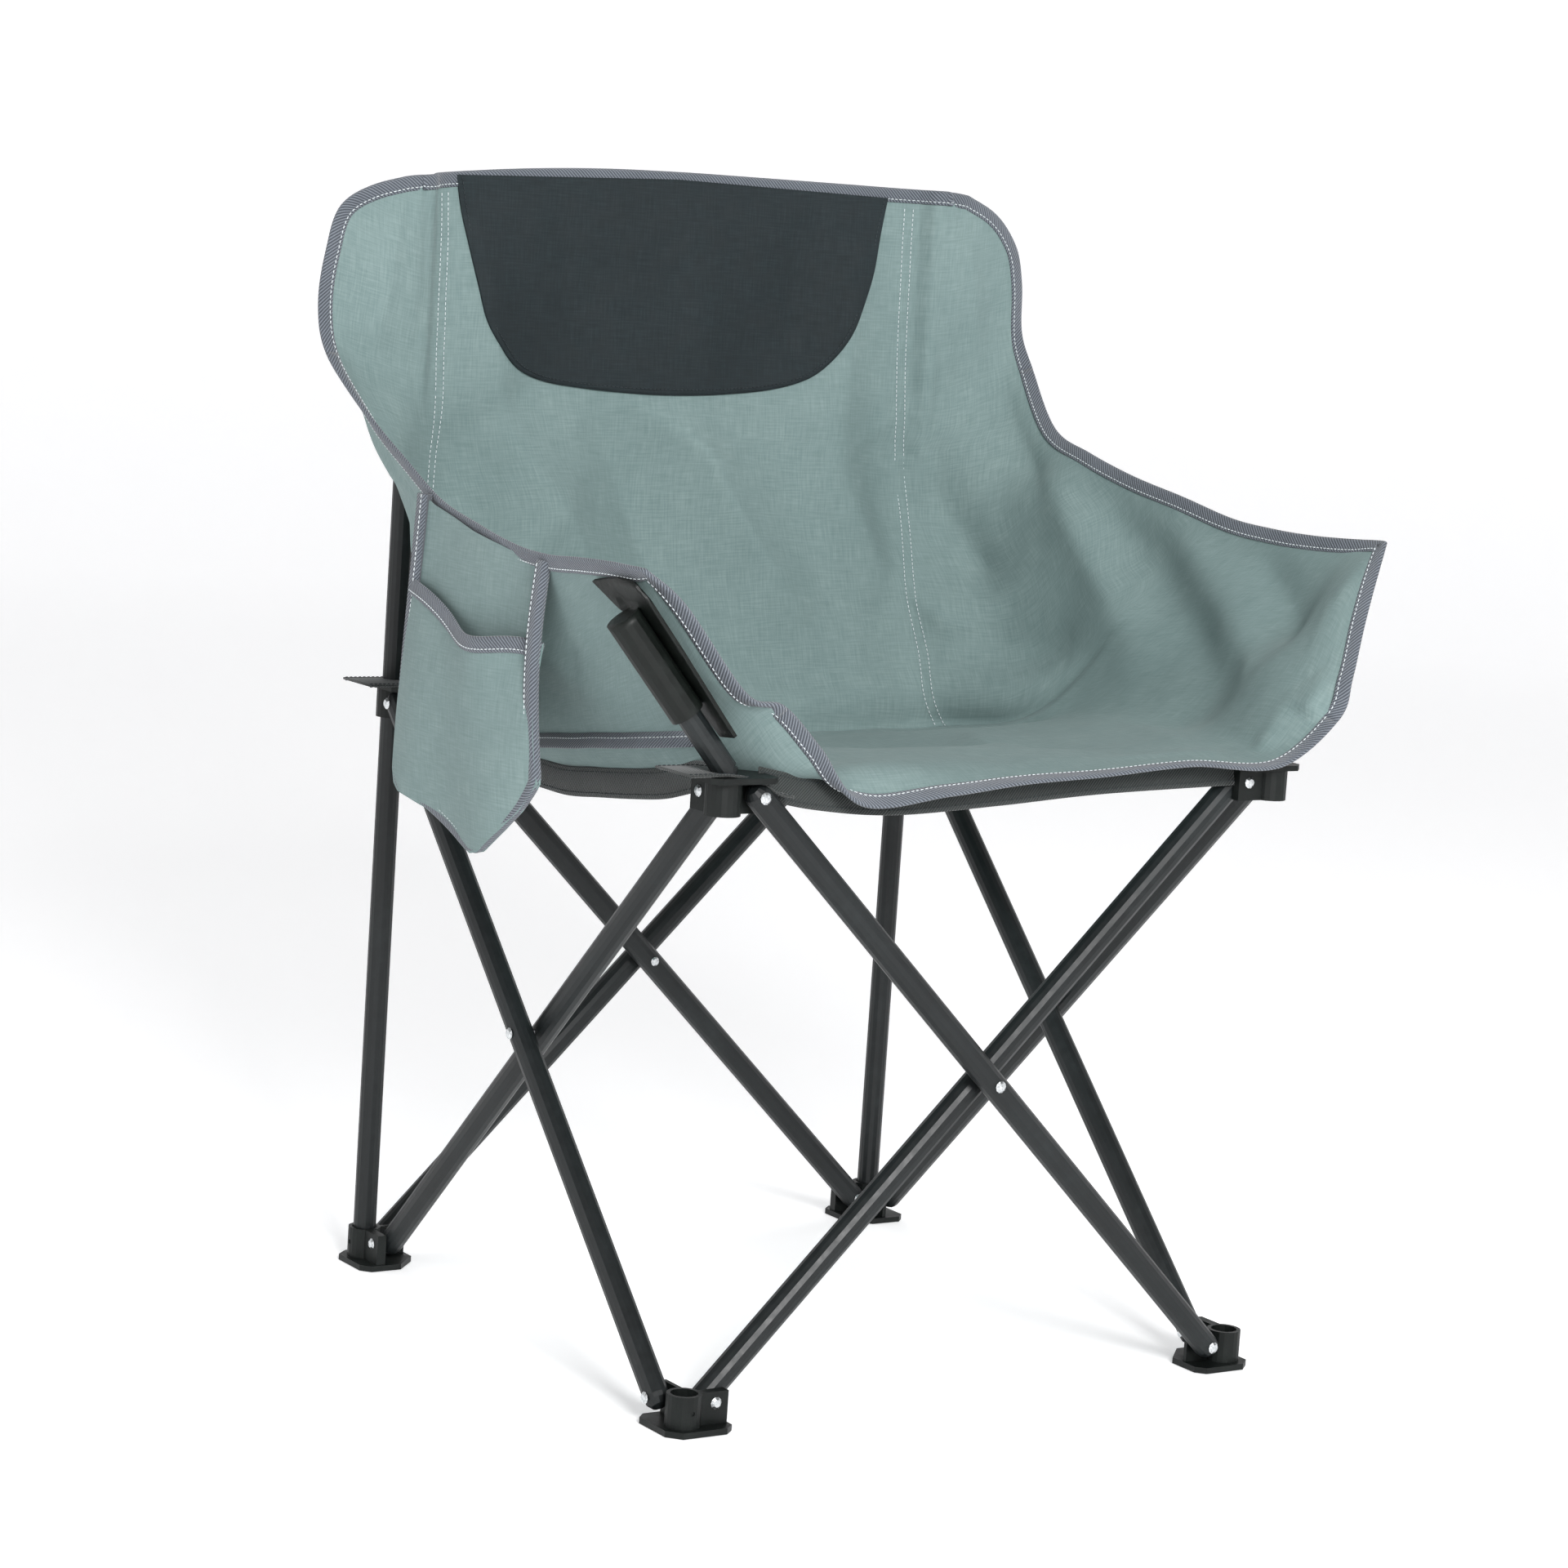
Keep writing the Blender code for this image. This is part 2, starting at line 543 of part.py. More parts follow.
combine(ob, [("DIFFERENCE", prism(inside, -0.2985, -0.2870, "x")), ("DIFFERENCE", prism(front_cut, -0.32, -0.2870, "x"))])
tidy(ob)
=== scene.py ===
import bpy
import bmesh
import math
import numpy as np
from mathutils import Matrix, Vector, noise


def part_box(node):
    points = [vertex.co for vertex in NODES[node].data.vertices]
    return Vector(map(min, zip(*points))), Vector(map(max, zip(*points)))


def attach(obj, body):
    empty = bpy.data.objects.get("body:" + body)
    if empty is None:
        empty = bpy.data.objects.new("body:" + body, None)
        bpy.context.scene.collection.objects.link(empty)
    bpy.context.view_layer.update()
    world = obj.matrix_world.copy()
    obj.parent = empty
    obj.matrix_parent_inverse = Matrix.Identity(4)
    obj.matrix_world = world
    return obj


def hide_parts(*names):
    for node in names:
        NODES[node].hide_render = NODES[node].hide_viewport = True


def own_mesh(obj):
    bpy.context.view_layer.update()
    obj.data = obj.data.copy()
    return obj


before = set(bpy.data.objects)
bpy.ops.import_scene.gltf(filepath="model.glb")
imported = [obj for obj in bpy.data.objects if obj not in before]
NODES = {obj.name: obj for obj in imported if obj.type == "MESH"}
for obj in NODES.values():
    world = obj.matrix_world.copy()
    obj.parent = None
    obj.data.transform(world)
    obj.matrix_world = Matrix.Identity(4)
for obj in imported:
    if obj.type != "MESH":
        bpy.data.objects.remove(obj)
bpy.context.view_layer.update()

HALF = 0.215


# ---------------------------------------------------------------- camera, light and floor

def make_camera():
    forward = Vector((0.54807667, 0.82469319, -0.13961772)).normalized()
    up = Vector((0.02117824, 0.15318532, 0.98797052)).normalized()
    right = forward.cross(up).normalized()
    up = right.cross(forward).normalized()
    m = Matrix((
        (right.x, up.x, -forward.x, -1.56587),
        (right.y, up.y, -forward.y, -2.31334),
        (right.z, up.z, -forward.z, 0.76142),
        (0, 0, 0, 1)))
    data = bpy.data.cameras.new("camera")
    data.sensor_width = 36
    data.lens = 95.29
    data.clip_end = 50
    camera = bpy.data.objects.new("camera", data)
    camera.matrix_world = m
    bpy.context.scene.collection.objects.link(camera)
    bpy.context.scene.camera = camera


def area_light(name, place, target, size, power, colour=(1, 1, 1)):
    data = bpy.data.lights.new(name, "AREA")
    data.shape = "RECTANGLE"
    data.size, data.size_y = size
    data.energy = power
    data.color = colour
    o = bpy.data.objects.new(name, data)
    o.location = place
    o.rotation_euler = (Vector(target) - Vector(place)).to_track_quat("-Z", "Y").to_euler()
    bpy.context.scene.collection.objects.link(o)


def make_stage():
    bpy.context.scene.view_settings.view_transform = "Standard"
    world = bpy.data.worlds.new("studio")
    world.use_nodes = True
    back = world.node_tree.nodes["Background"]
    back.inputs["Color"].default_value = (1.0, 1.0, 1.0, 1)
    back.inputs["Strength"].default_value = 0.30
    bpy.context.scene.world = world
    area_light("key", (-0.9, -3.0, 1.8), (0, 0, 0.45), (1.0, 1.0), 118)
    area_light("side", (-3.0, 0.4, 1.1), (0, 0, 0.45), (1.0, 1.2), 10)
    area_light("top", (0.3, 0.7, 3.0), (0, 0, 0.4), (2.0, 2.0), 17)

    # a round floor that turns up into a low wall all round, so that no horizon shows from any side
    profile = [(0.0, 0.0), (1.5, 0.0), (3.0, 0.0), (5.0, 0.0)]
    radius = 1.6
    for i in range(1, 13):
        a = math.pi / 2 * i / 12
        profile.append((5.0 + radius * math.sin(a), radius * (1 - math.cos(a))))
    profile.append((5.0 + radius, 3.6))
    turns = 72
    verts, faces = [(0.0, 0.0, -0.0004)], []
    for r, z in profile[1:]:
        for q in range(turns):
            t = 2 * math.pi * q / turns
            verts.append((r * math.cos(t), r * math.sin(t), z - 0.0004))
    for q in range(turns):
        faces.append((0, 1 + q, 1 + (q + 1) % turns))
    for i in range(len(profile) - 2):
        for q in range(turns):
            n = (q + 1) % turns
            faces.append((1 + i * turns + q, 1 + (i + 1) * turns + q, 1 + (i + 1) * turns + n, 1 + i * turns + n))
    mesh = bpy.data.meshes.new("studio_floor")
    mesh.from_pydata(verts, [], faces)
    for p in mesh.polygons:
        p.use_smooth = True
    floor = bpy.data.objects.new("studio_floor", mesh)
    bpy.context.scene.collection.objects.link(floor)
    m = bpy.data.materials.new("studio_floor")
    m.use_nodes = True
    b = m.node_tree.nodes["Principled BSDF"]
    b.inputs["Base Color"].default_value = (0.93, 0.93, 0.94, 1)
    b.inputs["Roughness"].default_value = 0.75
    b.inputs["Specular IOR Level"].default_value = 0.2
    b.inputs["Emission Color"].default_value = (1, 1, 1, 1)
    b.inputs["Emission Strength"].default_value = 0.32
    mesh.materials.append(m)


# ---------------------------------------------------------------- materials

def srgb(r, g, b):
    def lin(c):
        c /= 255
        return c / 12.92 if c <= 0.04045 else ((c + 0.055) / 1.055) ** 2.4
    return (lin(r), lin(g), lin(b), 1)


class Nodes:
    """A few short helpers for building a material's node tree."""

    def __init__(self, name):
        self.material = bpy.data.materials.new(name)
        self.material.use_nodes = True
        self.tree = self.material.node_tree
        self.shader = self.tree.nodes["Principled BSDF"]

    def add(self, kind, **values):
        n = self.tree.nodes.new(kind)
        for k, v in values.items():
            if hasattr(n, k):
                setattr(n, k, v)
            else:
                n.inputs[k.replace("_", " ")].default_value = v
        return n

    def link(self, a, b):
        self.tree.links.new(a, b)

    def math(self, operation, a, b=0.0):
        n = self.tree.nodes.new("ShaderNodeMath")
        n.operation = operation
        for i, v in enumerate((a, b)):
            if isinstance(v, (int, float)):
                n.inputs[i].default_value = v
            else:
                self.link(v, n.inputs[i])
        return n.outputs[0]

    def ramp(self, factor, stops):
        n = self.tree.nodes.new("ShaderNodeValToRGB")
        ramp = n.color_ramp
        while len(ramp.elements) > 1:
            ramp.elements.remove(ramp.elements[-1])
        ramp.elements[0].position = stops[0][0]
        ramp.elements[0].color = stops[0][1]
        for at, colour in stops[1:]:
            ramp.elements.new(at).color = colour
        self.link(factor, n.inputs["Fac"])
        return n.outputs["Color"]

    def mix(self, factor, a, b, blend="MIX"):
        n = self.tree.nodes.new("ShaderNodeMix")
        n.data_type = "RGBA"
        n.blend_type = blend
        ins = [s for s in n.inputs if s.enabled]
        for s, v in zip(ins, (factor, a, b)):
            if isinstance(v, (int, float)):
                s.default_value = v
            elif isinstance(v, tuple):
                s.default_value = v
            else:
                self.link(v, s)
        return [s for s in n.outputs if s.enabled][0]

    def uv(self, name="weave"):
        n = self.tree.nodes.new("ShaderNodeUVMap")
        n.uv_map = name
        sep = self.tree.nodes.new("ShaderNodeSeparateXYZ")
        self.link(n.outputs["UV"], sep.inputs[0])
        return n.outputs["UV"], sep.outputs[0], sep.outputs[1]

    def place(self):
        return self.tree.nodes.new("ShaderNodeTexCoord").outputs["Object"]

    def noise(self, vector, scale, detail=3.0, rough=0.55):
        n = self.tree.nodes.new("ShaderNodeTexNoise")
        n.inputs["Scale"].default_value = scale
        n.inputs["Detail"].default_value = detail
        n.inputs["Roughness"].default_value = rough
        self.link(vector, n.inputs["Vector"])
        return n.outputs["Fac"]

    def bump(self, height, strength, distance, normal=None):
        n = self.tree.nodes.new("ShaderNodeBump")
        n.inputs["Strength"].default_value = strength
        n.inputs["Distance"].default_value = distance
        self.link(height, n.inputs["Height"])
        if normal is not None:
            self.link(normal, n.inputs["Normal"])
        return n.outputs["Normal"]


def cloth_material(name, colour, dark, light, pitch=0.00085, sheen=0.25, rough=0.80):
    """Coated plain-weave polyester: crossing yarns, slubs, slow shade changes and a few scuffs."""
    n = Nodes(name)
    uv, u, v = n.uv()
    k = 2 * math.pi / pitch
    warp = n.math("SINE", n.math("MULTIPLY", u, k))
    weft = n.math("SINE", n.math("MULTIPLY", v, k))
    over = n.math("MULTIPLY", warp, weft)
    yarn = n.math("ADD", n.math("MULTIPLY", over, 0.5), 0.5)
    stretch = n.tree.nodes.new("ShaderNodeMapping")
    stretch.inputs["Scale"].default_value = (1.0, 0.06, 1.0)
    n.link(uv, stretch.inputs["Vector"])
    slub = n.noise(stretch.outputs[0], 900, 2.0)
    stretch2 = n.tree.nodes.new("ShaderNodeMapping")
    stretch2.inputs["Scale"].default_value = (0.06, 1.0, 1.0)
    n.link(uv, stretch2.inputs["Vector"])
    slub2 = n.noise(stretch2.outputs[0], 900, 2.0)
    slow = n.noise(uv, 7.0, 4.0)
    mid = n.noise(uv, 60.0, 4.0)
    tone = n.math("ADD", n.math("MULTIPLY", slub, 0.32), n.math("MULTIPLY", slub2, 0.32))
    tone = n.math("ADD", tone, n.math("MULTIPLY", slow, 0.22))
    tone = n.math("ADD", tone, n.math("MULTIPLY", mid, 0.14))
    base = n.ramp(tone, [(0.36, dark), (0.5, colour), (0.64, light)])
    shade = n.ramp(yarn, [(0.0, (0.90, 0.90, 0.90, 1)), (1.0, (1.06, 1.06, 1.06, 1))])
    n.link(n.mix(1.0, base, shade, "MULTIPLY"), n.shader.inputs["Base Color"])
    r = n.ramp(mid, [(0.3, (rough - 0.05,) * 3 + (1,)), (0.7, (rough + 0.06,) * 3 + (1,))])
    n.link(r, n.shader.inputs["Roughness"])
    fine = n.bump(yarn, 0.35, 0.00022)
    fine = n.bump(slub, 0.20, 0.00020, fine)
    n.link(n.bump(n.noise(uv, 34.0, 3.0), 0.22, 0.0012, fine), n.shader.inputs["Normal"])
    n.shader.inputs["Specular IOR Level"].default_value = 0.30
    n.shader.inputs["Sheen Weight"].default_value = sheen
    n.shader.inputs["Sheen Roughness"].default_value = 0.45
    n.shader.inputs["Sheen Tint"].default_value = (0.85, 0.95, 0.95, 1)
    return n.material


def twill_material(name, colour, dark, light, pitch=0.0016, slant=1.0, rough=0.72, depth=0.0004):
    """Woven tape: diagonal ribs across the tape and lengthwise yarn, worn paler on the ribs."""
    n = Nodes(name)
    uv, u, v = n.uv()
    k = 2 * math.pi / pitch
    run = n.math("ADD", u, n.math("MULTIPLY", v, slant))
    rib = n.math("ADD", n.math("MULTIPLY", n.math("SINE", n.math("MULTIPLY", run, k)), 0.5), 0.5)
    thread = n.math("ADD", n.math("MULTIPLY", n.math("SINE", n.math("MULTIPLY", v, k * 1.9)), 0.5), 0.5)
    grain = n.noise(uv, 1500, 3.0)
    slow = n.noise(uv, 24, 3.0)
    tone = n.math("ADD", n.math("MULTIPLY", rib, 0.55), n.math("MULTIPLY", grain, 0.25))
    tone = n.math("ADD", tone, n.math("MULTIPLY", slow, 0.20))
    n.link(n.ramp(tone, [(0.20, dark), (0.52, colour), (0.85, light)]), n.shader.inputs["Base Color"])
    r = n.ramp(slow, [(0.3, (rough - 0.06,) * 3 + (1,)), (0.7, (rough + 0.06,) * 3 + (1,))])
    n.link(r, n.shader.inputs["Roughness"])
    b = n.bump(rib, 0.7, depth)
    n.link(n.bump(thread, 0.25, depth * 0.5, b), n.shader.inputs["Normal"])
    n.shader.inputs["Specular IOR Level"].default_value = 0.35
    n.shader.inputs["Sheen Weight"].default_value = 0.2
    return n.material


def thread_material(name, colour, dark):
    n = Nodes(name)
    p = n.place()
    grain = n.noise(p, 1400, 2.0)
    n.link(n.ramp(grain, [(0.3, dark), (0.7, colour)]), n.shader.inputs["Base Color"])
    n.shader.inputs["Roughness"].default_value = 0.6
    n.link(n.bump(grain, 0.4, 0.0002), n.shader.inputs["Normal"])
    return n.material


def tube_material(name):
    """Satin powder coat on steel tube: fine orange peel, faint scuffs and dust."""
    n = Nodes(name)
    p = n.place()
    peel = n.noise(p, 900, 3.0)
    cloud = n.noise(p, 11, 4.0)
    scuff = n.noise(p, 130, 8.0, 0.7)
    tone = n.math("ADD", n.math("MULTIPLY", cloud, 0.55), n.math("MULTIPLY", scuff, 0.45))
    n.link(n.ramp(tone, [(0.36, srgb(14, 17, 18)), (0.52, srgb(19, 23, 24)), (0.68, srgb(29, 34, 35))]),
           n.shader.inputs["Base Color"])
    n.link(n.ramp(scuff, [(0.3, (0.36, 0.36, 0.36, 1)), (0.72, (0.52, 0.52, 0.52, 1))]), n.shader.inputs["Roughness"])
    n.link(n.bump(peel, 0.25, 0.00018), n.shader.inputs["Normal"])
    n.shader.inputs["Metallic"].default_value = 0.0
    n.shader.inputs["Specular IOR Level"].default_value = 0.32
    n.shader.inputs["Coat Weight"].default_value = 0.06
    n.shader.inputs["Coat Roughness"].default_value = 0.35
    return n.material


def plastic_material(name, dark, mid, light, rough=0.48):
    """Moulded plastic with a fine grain and paler handling marks."""
    n = Nodes(name)
    p = n.place()
    grain = n.noise(p, 1300, 4.0)
    cloud = n.noise(p, 40, 5.0, 0.65)
    tone = n.math("ADD", n.math("MULTIPLY", cloud, 0.7), n.math("MULTIPLY", grain, 0.3))
    n.link(n.ramp(tone, [(0.34, dark), (0.5, mid), (0.68, light)]), n.shader.inputs["Base Color"])
    n.link(n.ramp(cloud, [(0.3, (rough - 0.08,) * 3 + (1,)), (0.7, (rough + 0.1,) * 3 + (1,))]), n.shader.inputs["Roughness"])
    n.link(n.bump(grain, 0.22, 0.00025), n.shader.inputs["Normal"])
    n.shader.inputs["Specular IOR Level"].default_value = 0.24
    return n.material


def rivet_material(name):
    n = Nodes(name)
    p = n.place()
    brush = n.noise(p, 700, 4.0)
    n.link(n.ramp(brush, [(0.3, srgb(176, 180, 182)), (0.7, srgb(232, 235, 236))]), n.shader.inputs["Base Color"])
    n.link(n.ramp(brush, [(0.3, (0.22, 0.22, 0.22, 1)), (0.7, (0.36, 0.36, 0.36, 1))]), n.shader.inputs["Roughness"])
    n.shader.inputs["Metallic"].default_value = 1.0
    n.link(n.bump(brush, 0.12, 0.0002), n.shader.inputs["Normal"])
    return n.material


def make_materials():
    return {
        "cloth": cloth_material("cover_cloth", srgb(112, 131, 130), srgb(101, 121, 120), srgb(126, 144, 142), sheen=0.08),
        "patch": cloth_material("patch_cloth", srgb(29, 37, 40), srgb(24, 31, 33), srgb(36, 46, 49), sheen=0.02),
        "binding": twill_material("binding_twill", srgb(86, 92, 100), srgb(56, 61, 68), srgb(122, 128, 136), pitch=0.0026, depth=0.0007),
        "webbing": twill_material("black_webbing", srgb(38, 43, 42), srgb(24, 28, 27), srgb(56, 61, 60), pitch=0.0022, rough=0.62),
        "stitch": thread_material("pale_thread", srgb(226, 232, 233), srgb(176, 184, 188)),
        "dark_stitch": thread_material("dark_thread", srgb(40, 49, 53), srgb(26, 33, 36)),
        "tube": tube_material("satin_coat"),
        "plastic": plastic_material("moulded_plastic", srgb(10, 13, 12), srgb(14, 18, 17), srgb(23, 28, 26)),
        "sleeve": plastic_material("sleeve_plastic", srgb(8, 11, 9), srgb(12, 16, 14), srgb(20, 26, 23), rough=0.42),
        "rivet": rivet_material("zinc_plate"),
    }


# ---------------------------------------------------------------- mesh helpers

def curve_through(knots, values, at):
    """Cubic through the values at the knots, with finite-difference tangents."""
    knots = np.asarray(knots, float)
    values = np.asarray(values, float)
    d = np.diff(values, axis=0) / np.diff(knots)[(slice(None),) + (None,) * (values.ndim - 1)]
    m = np.empty_like(values)
    h = np.diff(knots)
    w = (h[1:] / (h[1:] + h[:-1]))[(slice(None),) + (None,) * (values.ndim - 1)]
    m[1:-1] = d[:-1] * w + d[1:] * (1 - w)
    m[0], m[-1] = d[0], d[-1]
    i = np.clip(np.searchsorted(knots, at, side="right") - 1, 0, len(knots) - 2)
    hh = h[i]
    t = (at - knots[i]) / hh
    shape = (slice(None),) + (None,) * (values.ndim - 1)
    t, hh = t[shape], hh[shape]
    return ((2 * t ** 3 - 3 * t ** 2 + 1) * values[i] + (t ** 3 - 2 * t ** 2 + t) * hh * m[i]
            + (-2 * t ** 3 + 3 * t ** 2) * values[i + 1] + (t ** 3 - t ** 2) * hh * m[i + 1])


class Mesh:
    """Collects faces with a material, a flat uv and, where given, a normal for each corner."""

    def __init__(self):
        self.verts, self.faces, self.slots, self.uvs, self.normals = [], [], [], [], []

    def add(self, verts, faces, slot, uvs, normals=None):
        base = len(self.verts)
        self.verts.extend([tuple(map(float, v)) for v in verts])
        for k, f in enumerate(faces):
            self.faces.append(tuple(base + i for i in f))
            self.slots.append(slot)
            self.uvs.append([uvs[i] for i in f])
            if normals is None:
                self.normals.extend([(0.0, 0.0, 0.0)] * len(f))
            else:
                self.normals.extend([tuple(map(float, x)) for x in normals[k]])

    def build(self, name, materials, smooth=True):
        mesh = bpy.data.meshes.new(name)
        mesh.from_pydata(self.verts, [], self.faces)
        for m in materials:
            mesh.materials.append(m)
        layer = mesh.uv_layers.new(name="weave")
        flat = np.array([c for f in self.uvs for c in f], dtype=np.float32).ravel()
        layer.data.foreach_set("uv", flat)
        mesh.polygons.foreach_set("material_index", np.array(self.slots, dtype=np.int32))
        mesh.polygons.foreach_set("use_smooth", np.full(len(self.faces), smooth))
        mesh.update()
        if any(any(n) for n in self.normals):
            mesh.normals_split_custom_set(self.normals)
        o = bpy.data.objects.new(name, mesh)
        bpy.context.scene.collection.objects.link(o)
        return o


def grid_normals(P):
    du = np.gradient(P, axis=1)
    dv = np.gradient(P, axis=0)
    n = np.cross(du, dv)
    n /= np.linalg.norm(n, axis=2, keepdims=True) + 1e-12
    return n


def sheet_solid(mesh, P, N, UV, keep, slot, half):
    """A thin closed layer over the grid cells where keep is true, half thickness each way."""
    rows, cols = P.shape[:2]
    used = np.zeros((rows, cols), bool)
    cells = np.argwhere(keep)
    for i, j in cells:
        used[i:i + 2, j:j + 2] = True
    index = -np.ones((rows, cols), int)
    where = np.argwhere(used)
    index[used] = np.arange(len(where))
    n = len(where)
    front = P[used] - N[used] * half
    back = P[used] + N[used] * half
    verts = [tuple(x) for x in np.concatenate([front, back])]
    uv = [tuple(x) for x in UV[used]] * 2
    away = N[used]
    faces, corner = [], []
    for i, j in cells:
        a, b, c, d = index[i, j], index[i, j + 1], index[i + 1, j + 1], index[i + 1, j]
        faces.append((a, d, c, b))
        corner.append([-away[a], -away[d], -away[c], -away[b]])
        faces.append((a + n, b + n, c + n, d + n))
        corner.append([away[a], away[b], away[c], away[d]])
    k = np.zeros((rows + 1, cols + 1), bool)
    k[1:rows, 1:cols] = keep

    def wall(p, q):
        e = np.array(verts[q]) - np.array(verts[p])
        out = np.cross(e, away[p])
        out /= np.linalg.norm(out) + 1e-12
        faces.append((p, q, q + n, p + n))
        corner.append([out] * 4)

    for i, j in cells:
        a, b, c, d = index[i, j], index[i, j + 1], index[i + 1, j + 1], index[i + 1, j]
        if not k[i, j + 1]:
            wall(a, b)
        if not k[i + 2, j + 1]:
            wall(c, d)
        if not k[i + 1, j]:
            wall(d, a)
        if not k[i + 1, j + 2]:
            wall(b, c)
    mesh.add(verts, faces, slot, uv, corner)


def sweep(mesh, path, inward, normal, profile, slot, closed_ends=True, uv_start=0.0):
    """Runs a closed profile of (inward, normal) offsets along a path."""
    path, inward, normal = (np.asarray(x, float) for x in (path, inward, normal))
    n, k = len(path), len(profile)
    step = np.concatenate([[0], np.cumsum(np.linalg.norm(np.diff(path, axis=0), axis=1))]) + uv_start
    around = [0.0]
    for i in range(1, k):
        around.append(around[-1] + math.dist(profile[i], profile[i - 1]))
    verts, uvs, faces = [], [], []
    for i in range(n):
        for q, (a, b) in enumerate(profile):
            verts.append(path[i] + inward[i] * a + normal[i] * b)
            uvs.append((step[i], around[q]))
    for i in range(n - 1):
        for q in range(k):
            r = (q + 1) % k
            faces.append((i * k + q, i * k + r, (i + 1) * k + r, (i + 1) * k + q))
    if closed_ends:
        faces.append(tuple(range(k))[::-1])
        faces.append(tuple((n - 1) * k + q for q in range(k)))
    mesh.add(verts, faces, slot, uvs)


def stitches(mesh, path, normal, slot, pitch=0.0034, length=0.0026, radius=0.00034, lift=0.0002, start=0.0):
    """Short raised thread dashes along a path, each a small closed spindle."""
    path, normal = np.asarray(path, float), np.asarray(normal, float)
    seg = np.linalg.norm(np.diff(path, axis=0), axis=1)
    s = np.concatenate([[0], np.cumsum(seg)])
    if s[-1] < pitch:
        return
    at = start
    verts, faces, uvs = [], [], []
    while at + length < s[-1]:
        pts = [np.array([np.interp(at + f * length, s, path[:, c]) for c in range(3)]) for f in (0, 0.2, 0.8, 1)]
        nn = np.array([np.interp(at + length / 2, s, normal[:, c]) for c in range(3)])
        nn /= np.linalg.norm(nn) + 1e-12
        t = pts[3] - pts[0]
        t /= np.linalg.norm(t) + 1e-12
        side = np.cross(nn, t)
        base = len(verts)
        verts.append(pts[0] - nn * 0.0001)
        for q in (1, 2):
            for a in range(5):
                ang = 2 * math.pi * a / 5
                verts.append(pts[q] + nn * (lift + radius * math.sin(ang)) + side * radius * math.cos(ang))
        verts.append(pts[3] - nn * 0.0001)
        for a in range(5):
            b = (a + 1) % 5
            faces.append((base, base + 1 + b, base + 1 + a))
            faces.append((base + 1 + a, base + 1 + b, base + 6 + b, base + 6 + a))
            faces.append((base + 11, base + 6 + a, base + 6 + b))
        uvs.extend([(at, 0.0)] * 12)
        at += pitch
    mesh.add(verts, faces, slot, uvs)


# ---------------------------------------------------------------- the cover's surface

U_AT = [-1.0, -0.88, -0.76, -0.62, -0.50, -0.34, -0.17, 0.0, 0.17, 0.34, 0.50, 0.62, 0.76, 0.88, 1.0]
SAG_BACK = 0.006

